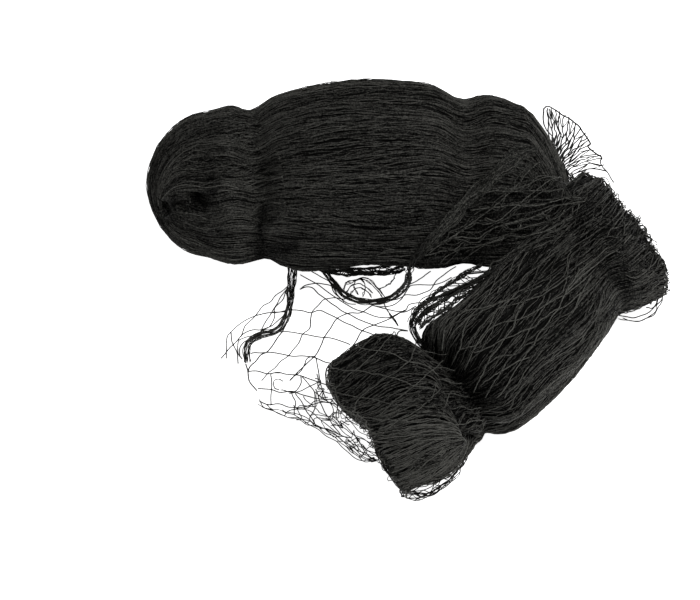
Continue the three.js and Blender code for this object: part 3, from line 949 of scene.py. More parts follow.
@dataclass
class LowerHank:
    """Gathered net, drawn in at a neck near each end, whose ends fan out past the necks."""

    upper: UpperHank  # the hank that it lies against
    # middle x and y, heading in degrees, half width, top, lowest point
    sections: Rows = (
        (-29, -127, 28, 59, 56, -3),
        (3, -114, 27, 61, 78, -4),
        (22, -105, 33, 53, 78, -2),
        (39, -99, 37, 45, 66, 3),
        (57, -87, 41, 53, 92, -3),
        (87, -61, 45, 53.5, 106, -5),
        (118, -28, 44, 52.5, 104, -4),
        (143, 3, 37, 50, 86, 2),
        (161, 24, 33, 59, 90, -2),
        (182, 45, 32, 66, 74, -2),
    )
    power: float = 2.3
    main_furrows: int = 9
    fine_furrows: int = 5
    twist: float = 0.8
    way_length: float = 33.0  # distance from one section to the next at the ends
    ring_reach: float = 7.0
    end_reach: float = 6.0
    creases: Rows = ((3.1, 0.3, 9.0), (7.2, 0.22, 5.0))  # way, width and extra depth of the necks
    crease_rise: Pair = (0.6, 0.4)  # share of the depth half-way up, and change to the top
    fold: Triple = (2.4, 0.26, 8.0)  # way, width and depth of the front fan's fold
    fold_line: Pair = (0.12, 0.55)  # its place around the hank, and slant
    bared: Triple = (5.0, 1.2, 9.0)  # way, spread and depth beside the gathered edge
    bared_angle: Pair = (2.8, 0.55)
    shadows: tuple[Shadow, ...] = (
        Shadow((160, -14), (176, -24), 8.0, 0.6),
        Shadow((175, -12), (179, -22), 5.0, 0.85),
        Shadow((150, 40), (141, 30), 8.0, 0.7),
    )
    slack: float = 10.0  # how far the rear fan's left corner draws in
    slack_side: Pair = (0.4, 0.6)  # where that starts across the hank, and over what distance
    slack_way: Pair = (7.6, 1.2)
    lean: float = 11.4  # how far the front fan's rim stands out over its foot
    lean_height: float = 50.0  # height of the rim
    lean_way: float = 0.9  # how far along the hank the lean fades out
    corner: float = 12.0  # how far the rim's left corner draws in
    dent: Triple = (0.12, 0.3, 8.0)  # place across, spread and depth of the rim's hollow
    core_grid: tuple[int, int] = (120, 96)
    core_ends: tuple[float, ...] = (0.0, 0.45, 0.8, 0.95)  # shares of the section over each end
    core_out: float = 0.06
    core_flow: Pair = (320.0, 320.0)
    # all over, painted light low on the right, in the fans, painted shade in the front neck and painted
    # light on the left flank
    tones: tuple[float, ...] = (0.29, 0.38, -0.1, -0.22, 0.42)
    strands: int = 300
    strand_points: int = 84
    strand_radius: float = 0.42
    # place along a strand, way, and share of the section, where strands turn in over the ends
    end_turns: Rows = (
        (0.0, -0.1, 0.4), (0.03, -0.13, 0.75), (0.06, -0.11, 0.96), (0.1, 0.15, 1.0),
        (0.93, 8.9, 1.0), (0.96, 9.1, 0.96), (0.98, 9.13, 0.75), (1.0, 9.1, 0.4),
    )
    sways: tuple[Wave, ...] = (Wave(0.06, 1.3), Wave(0.03, 4.0))
    drift: float = 0.06
    pitch: float = 0.13
    depths: Pair = (-2.4, -0.2)
    crimp: Triple = (0.008, 0.45, 0.16)  # around the hank, in depth and in tone
    meshes: tuple[int, int] = (92, 100)  # twines and points in each
    mesh_radius: float = 0.46
    mesh_beats: float = 7.0  # meshes along the hank
    # number, longest and widest of the loops at the front and at the rear
    fringes: tuple[tuple[int, float, float], ...] = ((520, 0.22, 0.08), (380, 0.12, 0.07))
    fringe_radius: float = 0.44
    furrows: Furrows = Furrows()

    def __post_init__(self) -> None:
        """Sets up the smooth table of sections."""
        self.last = len(self.sections) - 1
        self.track = Track(range(len(self.sections)), self.sections)

    def hollow(self, way: Array, angle: Array, up: Array) -> Array:
        """Depth of the creases that the main furrows leave out.

        Args:
            way: Places along the hank.
            angle: Places around it.
            up: Height of each place, from -1 at the bottom to 1 at the top.

        Returns:
            The depth in millimetres.
        """
        total = np.zeros(np.shape(way))
        for at, width, depth in self.creases:
            total = total + depth * bell(way - at, width) * (self.crease_rise[0] + self.crease_rise[1] * up)
        at, width, depth = self.fold
        line = self.fold_line[0] + self.fold_line[1] * (at - way)
        total = total + depth * bell(angle - line, width) * ease(at + 0.4 - way, 0.5) * ease(way - 0.3, 1.0)
        at, width, depth = self.bared
        return total + depth * bell(way - at, width) * bell(angle - self.bared_angle[0], self.bared_angle[1])

    def place(self, way: Array, angle: Array, swell: Array, share: Array | float = 1.0) -> Array:
        """Points of the hank's skin.

        Args:
            way: From 0 at the front end to 9 at the rear; further values stand out past the ends.
            angle: Around the section, from the right-hand side over the top.
            swell: How far outside the skin.
            share: Share of the section's size.

        Returns:
            The points.
        """
        way, angle, swell, share = np.broadcast_arrays(way, angle, swell, share)
        angle = wrap(angle)
        inside = np.clip(way, 0.0, self.last)
        out = (way - inside) * self.way_length
        x, y, heading, half, high, lift = np.moveaxis(self.track.at(inside), -1, 0)
        heading = np.radians(heading)
        rise = (high - lift) / 2.0
        middle = lift + rise
        side = signed_power(np.cos(angle), 2.0 / self.power)
        up = signed_power(np.sin(angle), 2.0 / self.power)
        turn = self.twist * inside
        furrow = self.furrows.at(
            middle + rise * up, self.main_furrows * angle + turn, self.fine_furrows * angle - turn
        )
        stand = furrow + swell - self.hollow(way, angle, up)
        across = side * (half + stand) * share
        drawn = ease(-side - self.slack_side[0], self.slack_side[1])
        across = across + self.slack * drawn * ease(way - self.slack_way[0], self.slack_way[1])
        height = middle + up * (rise + stand) * share
        points = np.stack(
            [
                x + across * np.sin(heading) + out * np.cos(heading),
                y - across * np.cos(heading) + out * np.sin(heading),
                np.maximum(height, 0.0),
            ],
            axis=-1,
        )
        return self.settle(points)

    def settle(self, points: Array) -> Array:
        """Moves points near the front end with the fan, whose rim stands out over its foot.

        Args:
            points: Points on or near the hank.

        Returns:
            The points as the fan carries them.
        """
        x, y, heading, half = self.sections[0][:4]
        ahead = np.array([math.cos(math.radians(heading)), math.sin(math.radians(heading)), 0.0])
        away = points - np.array([x, y, 0.0])
        along, across = away @ ahead, away[..., 0] * ahead[1] - away[..., 1] * ahead[0]
        near = ease(self.lean_way - along / self.way_length, self.lean_way)
        side = np.clip(across / half, -1.0, 1.0)
        foot = (1.0 + side) / 2.0
        out = self.lean * (points[..., 2] / self.lean_height - foot) - self.corner * side**4 * (1.0 - foot)
        out = out - self.dent[2] * bell(side - self.dent[0], self.dent[1])
        return points - (near * out)[..., None] * ahead

    def top(self, x: Array, y: Array, swell: float) -> Array:
        """Height of the hank's top.

        Args:
            x: Places on the floor.
            y: Places on the floor.
            swell: How far outside the skin.

        Returns:
            The height over each place, or 0 outside the hank's outline.
        """
        best = np.zeros(np.shape(x))
        for way in np.arange(0.0, self.last + 0.01, 0.25):
            mid_x, mid_y, heading, half, high, lift = self.track.at(np.array(way))
            heading, rise = math.radians(heading), (high - lift) / 2.0
            reach = self.end_reach + swell if way in (0.0, float(self.last)) else self.ring_reach
            along = (x - mid_x) * math.cos(heading) + (y - mid_y) * math.sin(heading)
            across = (x - mid_x) * math.sin(heading) - (y - mid_y) * math.cos(heading)
            away = np.abs(across) / (half + swell)
            bulge = np.maximum(1.0 - away**self.power, 0.0) ** (1.0 / self.power)
            there = (np.abs(along) < reach) & (away < 1.0)
            best = np.maximum(best, np.where(there, lift + rise + (rise + swell) * bulge, 0.0))
        return best

    def build_core(self) -> None:
        """Makes the close-packed inside of the hank, which stands for its solid."""
        columns, around = self.core_grid
        ends, out = np.array(self.core_ends), np.full(len(self.core_ends), self.core_out)
        way = np.concatenate([-out, np.linspace(0.0, self.last, columns), self.last + out])
        share = np.concatenate([ends, np.ones(columns), ends[::-1]])
        angle = np.linspace(0.0, TAU, around, endpoint=False)[:, None]
        points = self.place(way[None, :], angle, np.array(CORE_DEPTH), share[None, :])
        points = self.upper.push_out(points, 0.6).reshape(-1, 3)
        core = core_piece("hank_lower_core", points, around, len(way), self.core_flow, Grain.COLUMNS)
        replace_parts(core, "hank_lower")

    def tone(self, way: Array, angle: Array) -> Array:
        """How pale the strands are, with painted light low on the right and on the left flank, and painted
        shade in the front neck.

        Args:
            way: Places along the hank.
            angle: Places around it.

        Returns:
            The tone at each place.
        """
        # low and flank are painted light, neck is painted shade.
        low = ease(1.0 - angle, 1.2) * ease(angle + 1.2, 0.6)
        neck = bell(way - 3.1, 0.55) * ease(angle - 0.4, 0.6)
        fanned = ease(2.8 - way, 0.8) + ease(way - 6.8, 0.6)
        flank = bell(way - 3.9, 1.0) * bell(angle - 2.3, 0.7)
        return sum(tone * part for tone, part in zip(self.tones, (1.0, low, fanned, neck, flank)))

    def build_strands(self) -> None:
        """Lays the close strands along the hank and over its ends."""
        rng, count = Seed.LOWER_STRANDS.rng(), self.strands
        t = np.linspace(0.0, 1.0, self.strand_points)[None, :]
        turns = np.asarray(self.end_turns)
        way, share = np.moveaxis(Track(turns[:, 0], turns[:, 1:]).at(t), -1, 0)
        angle = rng.permutation((np.arange(count) + rng.uniform(0.0, 1.0, count)) / count * TAU)[:, None]
        shared, clumps = Drift(rng, 8, 5.0, 4.0), Drift(rng, 8, 6.0, 5.0)
        own = rng.uniform(0.0, TAU, (2, count, 1))
        sway = sum(wave.at(t, phase) for wave, phase in zip(self.sways, own))
        crimp = rng.normal(0.0, 1.0, (3, count, self.strand_points))
        depth = rng.uniform(*self.depths, (count, 1))
        bunch = bunched(t, angle, self.pitch, clumps)
        path = angle + self.drift * shared.at(t, angle) + sway + bunch + self.crimp[0] * crimp[0]
        way = way + 0.06 * rng.normal(0.0, 1.0, (count, 1)) * ease(np.abs(t - 0.5) - 0.3, 0.2)
        share = 1.0 - (1.0 - share) * (1.2 + 0.3 * np.sin(own[0]))
        lines = self.place(way, path, depth + self.crimp[1] * crimp[1], share)
        lines = clear_floor(self.upper.push_out(lines, 1.0))
        # Deeper strands get painted shade.
        shade = self.tone(way, wrap(path)) + 0.12 * depth + 0.2 * rng.normal(0.0, 1.0, (count, 1))
        shade = np.clip(shade + self.crimp[2] * crimp[2], 0.0, PALEST)
        shade = shaded(shade, lines, (*self.shadows, SWATH_SHADOW))
        twine = Twine()
        twine.add(lines, self.strand_radius, shade)
        twine.build("hank_lower_strands", HANK_BLACK, Slot.HANK)

    def build_meshes(self) -> None:
        """Lays the outermost net along the hank, its meshes drawn out into long diamonds."""
        rng = Seed.MESHES.rng()
        count, points = self.meshes
        t = np.linspace(0.0, 1.0, points)[None, :]
        way = -0.1 + (self.last + 0.2) * t
        row = np.arange(count)[:, None]
        spacing = TAU / count
        wide, long = Drift(rng, 6, 4.0, 2.0), Drift(rng, 6, 4.0, 2.0)
        base = row * spacing + rng.uniform(-0.3, 0.3, (count, 1)) * spacing
        beat = self.mesh_beats * t + 0.4 * long.at(t, base) + rng.uniform(-0.1, 0.1, (count, 1))
        swing = np.arcsin(0.9 * np.sin(TAU * beat)) / 1.12
        angle = base + np.where(row % 2 == 0, 0.6, -0.6) * spacing * swing + 0.14 * wide.at(t, base)
        crimp = rng.normal(0.0, 1.0, (3, count, points))
        high = rng.uniform(-0.8, 0.6, (count, 1)) + 0.3 * crimp[1]
        lines = clear_floor(self.upper.push_out(self.place(way, angle + 0.005 * crimp[0], high), 1.6))
        shade = self.tone(way, wrap(angle)) + rng.uniform(-0.15, 0.45, (count, 1)) + 0.1 * crimp[2]
        twine = Twine()
        twine.add(lines, self.mesh_radius, np.clip(shade, 0.0, PALEST))
        twine.build("hank_lower_meshes", HANK_BLACK, Slot.HANK)

    def build_fringe(self) -> None:
        """Makes the loops of net that stand out of both ends."""
        rng, twine = Seed.FRINGE.rng(), Twine()
        bend = np.linspace(-1.0, 1.0, 11)[None, :]
        arch = np.sqrt(np.maximum(1.0 - bend**2, 0.0))
        for (count, longest, widest), end, sign in zip(self.fringes, (0.0, float(self.last)), (-1.0, 1.0)):
            angle = rng.uniform(0.0, TAU, (count, 1))
            share = np.sqrt(rng.uniform(0.01, 0.96, (count, 1)))
            wide = rng.uniform(0.02, widest, (count, 1)) / np.maximum(share, 0.35)
            way = end + sign * (rng.uniform(0.04, longest, (count, 1)) * arch + 0.02)
            lean = rng.normal(0.0, 0.05, (count, 1)) * arch
            lines = self.place(way, angle + wide * bend, np.array(-0.6), share + lean)
            lines = clear_floor(self.upper.push_out(lines, 1.0))
            twine.add(lines, self.fringe_radius, rng.uniform(0.2, 1.3, count))
        twine.build("hank_lower_fringe", HANK_BLACK, Slot.HANK)


@dataclass(frozen=True)
class Comb:
    """Outer strands of a hank that lie side by side between guide lines."""

    guides: Lines  # places on the floor, or points where the strands go down the side of the hank
    strands: int
    pale: Pair  # along the first guide and along the last
    points: int = 40
    cross: float = 0.2  # how far strands stray over each other, in guides
    radius: float = 0.48
    sink: float = 0.0  # how deep the strands start between those of the hank
    fall: Pair = (0.0, 0.0)  # how far the strands fall over the rim at their start and end
    painted_lighting: Triple = (0.0, 1.0, 0.0)  # place along, spread and strength of a band of painted light; a negative strength paints shade instead
    ramp: float = 1.0  # power of the change from the first guide's tone to the last one's
    ragged: float = 0.0  # how unevenly the strands start
    lift: float = 0.8  # height over the hank
    strays: Pair = (0.4, 1.6)  # fewest and most waves of a strand's stray
    ripple: Wave = Wave(0.2, 3.5)
    crimp: float = 0.06
    depths: Pair = (-2.2, 0.4)
    tones: Pair = (0.22, 0.1)  # how much the tone differs between strands and along them
    palest: float = 1.3

    def lay(self, twine: Twine, hank: UpperHank | LowerHank, rng: Rng) -> None:
        """Lays the strands on the hank.

        Args:
            twine: Takes the strands.
            hank: The hank.
            rng: Source of the seeded numbers.
        """
        last, count = len(self.guides) - 1, self.strands
        guides = np.stack([route(guide, self.points) for guide in self.guides])
        t = np.linspace(0.0, 1.0, self.points)[None, :]
        spot = last * (np.arange(count)[:, None] + rng.uniform(0.0, 1.0, (count, 1))) / count
        own = rng.uniform(0.0, TAU, (2, count, 1))
        stray = np.sin(TAU * rng.uniform(*self.strays, (count, 1)) * t + own[0]) + self.ripple.at(t, own[1])
        place = np.clip(spot + self.cross * stray, 0.0, last)
        spots = np.stack(
            [Track(range(last + 1), guides[:, k]).at(place[:, k]) for k in range(self.points)], axis=1
        )
        flat = spots[..., :2] + self.crimp * rng.normal(0.0, 1.0, (count, self.points, 2))
        uneven = self.ragged * (np.sin(9.0 * own[0]) * ease(0.3 - t, 0.3))[..., None]
        flat = flat + uneven * (flat[:, :1] - flat[:, 5:6]) / 10.0
        if guides.shape[-1] == 3:
            rest = spots[..., 2]
        else:
            rest = over_rims(hank.top(flat[..., 0], flat[..., 1], self.lift))
        high = rest_on(rest, 6) + rng.uniform(*self.depths, (count, 1))
        high = high - self.sink * ease(0.3 - t + 0.15 * np.sin(own[1]), 0.3)
        edge = 0.12 + 0.07 * np.sin(own[0])
        drop = self.fall[0] * (0.8 + 0.3 * np.sin(own[1]))
        high = high - drop * ease(edge - t, 0.14) - self.fall[1] * ease(t - 1.0 + edge, 0.1)
        lines = hank.settle(raised(flat, np.maximum(high, FLOOR_CLEAR)))
        shade = self.pale[0] + (self.pale[1] - self.pale[0]) * (place / last) ** self.ramp
        # Band of painted light; a negative strength makes it painted shade.
        shade = shade + self.painted_lighting[2] * bell(flat[..., 0] - self.painted_lighting[0], self.painted_lighting[1])
        # Painted light on the strands where they fall over the rim, whose side faces away from the light.
        shade = shade + 0.015 * drop * ease(edge - t - 0.04, 0.1)
        shade = shade + self.tones[0] * rng.normal(0.0, 1.0, (count, 1))
        shade = np.clip(shade + self.tones[1] * rng.normal(0.0, 1.0, place.shape), 0.0, self.palest)
        twine.add(lines, self.radius, shaded(shade, lines, hank.shadows))


FRONT_FAN = Comb(
    (
        ((-53, -95), (-46, -88), (-34, -81), (-22, -77), (-11, -74), (-5, -74)),
        ((-52, -99), (-40, -99), (-26, -91), (-11, -89), (4, -85), (16, -89)),
        ((-47, -108), (-34, -110), (-20, -102), (-4, -98), (13, -96), (27, -107)),
        ((-41, -119), (-28, -118), (-13, -113), (4, -108), (21, -108), (32, -121)),
        ((-37, -128), (-22, -127), (-7, -123), (10, -119), (25, -120), (36, -132)),
        ((-33, -135), (-16, -133), (-1, -131), (16, -128), (29, -130), (39, -138)),
        ((-29, -142), (-13, -141), (3, -140), (18, -138), (32, -139), (41, -143)),
        ((-27, -146), (-10, -147), (6, -146), (23, -145), (35, -145), (43, -146)),
        ((-24, -151), (-8, -153), (8, -152), (23, -150), (35, -148), (44, -149)),
    ),
    strands=95, pale=(0.16, 1.0), fall=(24.0, 4.0), ramp=1.4, ragged=3.0,
)
FRONT_BULB = Comb(
    (
        ((44, -149, 64), (30, -150, 70), (14, -152, 71), (0, -154, 66), (-12, -156, 58), (-22, -155, 42)),
        ((44, -150, 63), (31, -152, 69), (17, -156, 68), (4, -160, 62), (-8, -163, 54), (-19, -160, 38)),
        ((45, -151, 62), (34, -155, 66), (22, -160, 64), (8, -164, 57), (-5, -169, 49), (-16, -166, 36)),
        ((46, -152, 60), (37, -158, 61), (26, -165, 57), (14, -170, 50), (1, -175, 44), (-12, -174, 35)),
        ((47, -151, 55), (40, -160, 54), (32, -167, 49), (22, -173, 43), (9, -177, 38), (-7, -180, 34)),
        ((48, -152, 51), (44, -159, 42), (39, -164, 34), (30, -170, 30), (20, -174, 29), (6, -178, 30)),
    ),
    # painted shade where the bulb's strands meet at the front neck
    strands=72, pale=(0.62, 1.3), radius=0.5, fall=(4.0, 5.0), painted_lighting=(48.0, 12.0, -0.8),
)
REAR_FAN = Comb(
    (
        ((129, 48), (139, 54), (148, 63), (155, 68), (163, 79)),
        ((114, 16), (127, 30), (139, 39), (148, 45), (159, 58), (171, 74)),
        ((118, -7), (136, 14), (150, 23), (161, 31), (170, 44), (178, 59)),
        ((121, -33), (139, -14), (156, 4), (166, 11), (176, 23), (185, 38)),
        ((123, -47), (140, -29), (159, -7), (170, 0), (181, 11), (192, 25)),
        ((130, -56), (145, -38), (162, -16), (175, -10), (187, 0), (199, 13)),
        ((138, -61), (151, -44), (165, -23), (179, -18), (190, -10), (203, 4)),
        ((147, -60), (158, -46), (169, -29), (183, -23), (194, -16), (204, -7)),
        ((154, -58), (165, -45), (175, -32), (187, -27), (198, -21), (205, -13)),
        ((163, -52), (172, -40), (180, -33), (192, -27), (201, -22), (205, -18)),
    ),
    strands=84, pale=(0.35, 0.4), points=46, cross=0.07, sink=5.0, fall=(0.0, 12.0),
)
UPPER_LOBE = Comb(
    (
        ((-207, 85), (-203, 102), (-189, 115), (-171, 127), (-151, 133), (-131, 140), (-110, 143)),
        ((-205, 77), (-199, 92), (-183, 101), (-165, 112), (-145, 118), (-128, 129), (-107, 123)),
        ((-202, 70), (-194, 83), (-179, 91), (-161, 98), (-143, 103), (-125, 116), (-104, 108)),
        ((-200, 64), (-191, 76), (-175, 80), (-158, 83), (-140, 87), (-123, 101), (-101, 93)),
        ((-199, 59), (-190, 68), (-175, 70), (-156, 70), (-138, 73), (-121, 85), (-99, 79)),
        ((-197, 55), (-188, 60), (-173, 61), (-154, 59), (-137, 61), (-119, 71), (-97, 66)),
        ((-194, 54), (-184, 56), (-169, 55), (-153, 51), (-135, 52), (-117, 59), (-95, 52)),
    ),
    # painted light on the left lobe's flank beside the neck
    strands=110, pale=(0.2, 0.3), points=56, cross=0.3, radius=0.4, painted_lighting=(-128.0, 12.0, 0.16),
)
LOWER_LOBE = Comb(
    (
        ((-184, 42), (-172, 39), (-160, 38), (-147, 36), (-133, 41), (-115, 46), (-94, 41)),
        ((-193, 42), (-177, 35), (-162, 31), (-147, 28), (-131, 32), (-113, 35), (-93, 29)),
        ((-194, 43), (-181, 33), (-166, 28), (-151, 23), (-135, 24), (-124, 28), (-117, 31)),
    ),
    # painted light on the left lobe's flank beside the neck
    strands=46, pale=(0.3, 0.25), points=50, cross=0.3, radius=0.4, painted_lighting=(-128.0, 12.0, 0.16),
)


def comb_hanks(upper: UpperHank, lower: LowerHank) -> None:
    """Lays the combed strands on the left end of the upper hank and on both ends of the lower one.

    Args:
        upper: The hank wound around two eyes.
        lower: The gathered hank.
    """
    rng = Seed.COMBS.rng()
    for name, hank, combs in (
        ("hank_lower_combed", lower, (FRONT_FAN, FRONT_BULB, REAR_FAN)),
        ("hank_upper_combed", upper, (UPPER_LOBE, LOWER_LOBE)),
    ):
        twine = Twine()
        for comb in combs:
            comb.lay(twine, hank, rng)
        twine.build(name, HANK_BLACK, Slot.HANK)


@dataclass
class Swath:
    """Stretched net from the lower hank over the upper one's right end, gathered along its left edge."""

    upper: UpperHank
    lower: LowerHank
    flat: Pair = (0.13, 0.165)  # width and length in metres before it was gathered
    cut: float = 0.021  # flat area in square metres
    rise: float = 3.2
    step: float = 1.8
    radius: float = 0.46
    copies: Rows = ((0.0, 0.7), (2.6, 0.35), (2.6, 0.35))  # stray and tone of the twines along each line
    bundle: int = 90
    bundle_points: int = 80
    bundle_rise: float = 2.4
    bundle_radius: float = 0.45
    bundle_depths: Pair = (-3.0, 0.6)
    # left and right side of the gathered edge, from the front to the right shoulder of the upper hank
    bundle_sides: Lines = (
        ((6, 0), (19, 10), (32, 23), (45, 40), (59, 56), (71, 65), (82, 76), (94, 84), (104, 88), (113, 89)),
        ((10, -1), (21, 6), (34, 16), (45, 29), (52, 38), (64, 47), (76, 56), (88, 66), (98, 76), (108, 83)),
    )
    # twines of the swath's net
    lines: Lines = (
        ((61, 46), (69, 49), (80, 50), (88, 49), (99, 53), (108, 58), (116, 62), (126, 66)),
        ((55, 37), (70, 36), (78, 36), (90, 38), (101, 38), (112, 40), (121, 44), (130, 47), (137, 47),
         (144, 46)),
        ((48, 22), (59, 29), (71, 35), (76, 38), (81, 42), (88, 48), (94, 55), (100, 63), (106, 69),
         (112, 74)),
        ((67, 30), (74, 26), (78, 27), (85, 32), (90, 36), (95, 40), (101, 45), (108, 50), (120, 61),
         (131, 69)),
        ((21, 3), (29, 8), (38, 14), (48, 22), (54, 26), (59, 28), (67, 25), (74, 26)),
        ((38, 14), (48, 18), (62, 17), (67, 20), (80, 24), (96, 28), (108, 32), (124, 41), (132, 41),
         (148, 42)),
        ((18, 2), (26, 4), (35, 7), (42, 9), (48, 14), (54, 18), (62, 18)),
        ((31, 2), (39, 7), (51, 13), (60, 13), (75, 15), (88, 20), (102, 25), (115, 28), (127, 32),
         (131, 37)),
        ((50, 8), (61, 12), (70, 14), (78, 15), (86, 17), (95, 12), (103, 11), (113, 14), (125, 22),
         (136, 29)),
        ((67, -22), (69, -16), (77, -14), (84, -8), (90, -4), (98, -2), (106, 3), (118, 12), (133, 22)),
        ((80, 24), (85, 21), (94, 22), (96, 28), (102, 30)),
        ((108, 32), (114, 34), (119, 26), (122, 28)),
        ((64, 47), (73, 48), (82, 47), (93, 48), (108, 50), (120, 52), (131, 56), (137, 47)),
    )

    def drape(self, flat: Array, rise: float) -> Array:
        """Lays lines over both hanks.

        Args:
            flat: Places on the floor.
            rise: How far over the hanks the lines lie.

        Returns:
            The points.
        """
        x, y = flat[..., 0], flat[..., 1]
        rest = over_rims(np.maximum(self.upper.top(x, y, rise), self.lower.top(x, y, rise)))
        return raised(flat, rest_on(rest, 30))

    def build(self) -> None:
        """Makes the net and its gathered edge."""
        rng = Seed.SWATH.rng()
        twine = Twine()
        for places in self.lines:
            for spread, pale in self.copies:
                flat = even_route(places, self.step)
                stray = waver(rng, len(flat), columns=2, terms=3, waves=4.0)
                flat = flat + 0.18 * rng.normal(0.0, 1.0, flat.shape)
                flat = flat + spread * (stray + rng.normal(0.0, 0.7, 2))
                line = self.drape(flat, self.rise)
                twine.add(line, self.radius, pale * rng.uniform(0.6, 1.1))
        count, points = self.bundle, self.bundle_points
        left, right = (route(side, points) for side in self.bundle_sides)
        t = np.linspace(0.0, 1.0, points)[None, :]
        place = rng.uniform(0.0, 1.0, (count, 1))
        drift = 0.16 * Drift(rng, 6, 4.0, 6.0).at(t, place)
        place = place + drift + 0.1 * np.sin(TAU * (2.0 * t + 7.0 * place))
        place = (place + 0.03 * rng.normal(0.0, 1.0, (count, points)))[..., None]
        lines = self.drape(left * (1.0 - place) + right * place, self.bundle_rise)
        lines[..., 2] += rng.uniform(*self.bundle_depths, (count, 1))
        lines[..., 2] += 0.25 * rng.normal(0.0, 1.0, (count, points))
        shade = 0.6 * rng.beta(1.2, 2.0, (count, 1)) + 0.1 * rng.normal(0.0, 1.0, (count, points))
        twine.add(lines, self.bundle_radius, np.clip(shade, 0.0, 1.0))
        piece = twine.build("net_swath_twine", PROUD_BLACK, Slot.OPEN)
        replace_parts(piece, "net_swath")


def crossings(lines: Sequence[Array], near: float) -> Array:
    """Places where lines of a net cross.

    Args:
        lines: The lines.
        near: How near two lines pass where they are knotted.

    Returns:
        The places, one to a row.
    """
    places = []
    for k, one in enumerate(lines):
        for other in lines[k + 1 :]:
            apart = np.linalg.norm(one[:, None] - other[None], axis=2)
            spot = np.unravel_index(np.argmin(apart), apart.shape)
            if apart[spot] < near:
                places.append((one[spot[0]] + other[spot[1]]) / 2.0)
    return np.array(places).reshape(-1, 3)


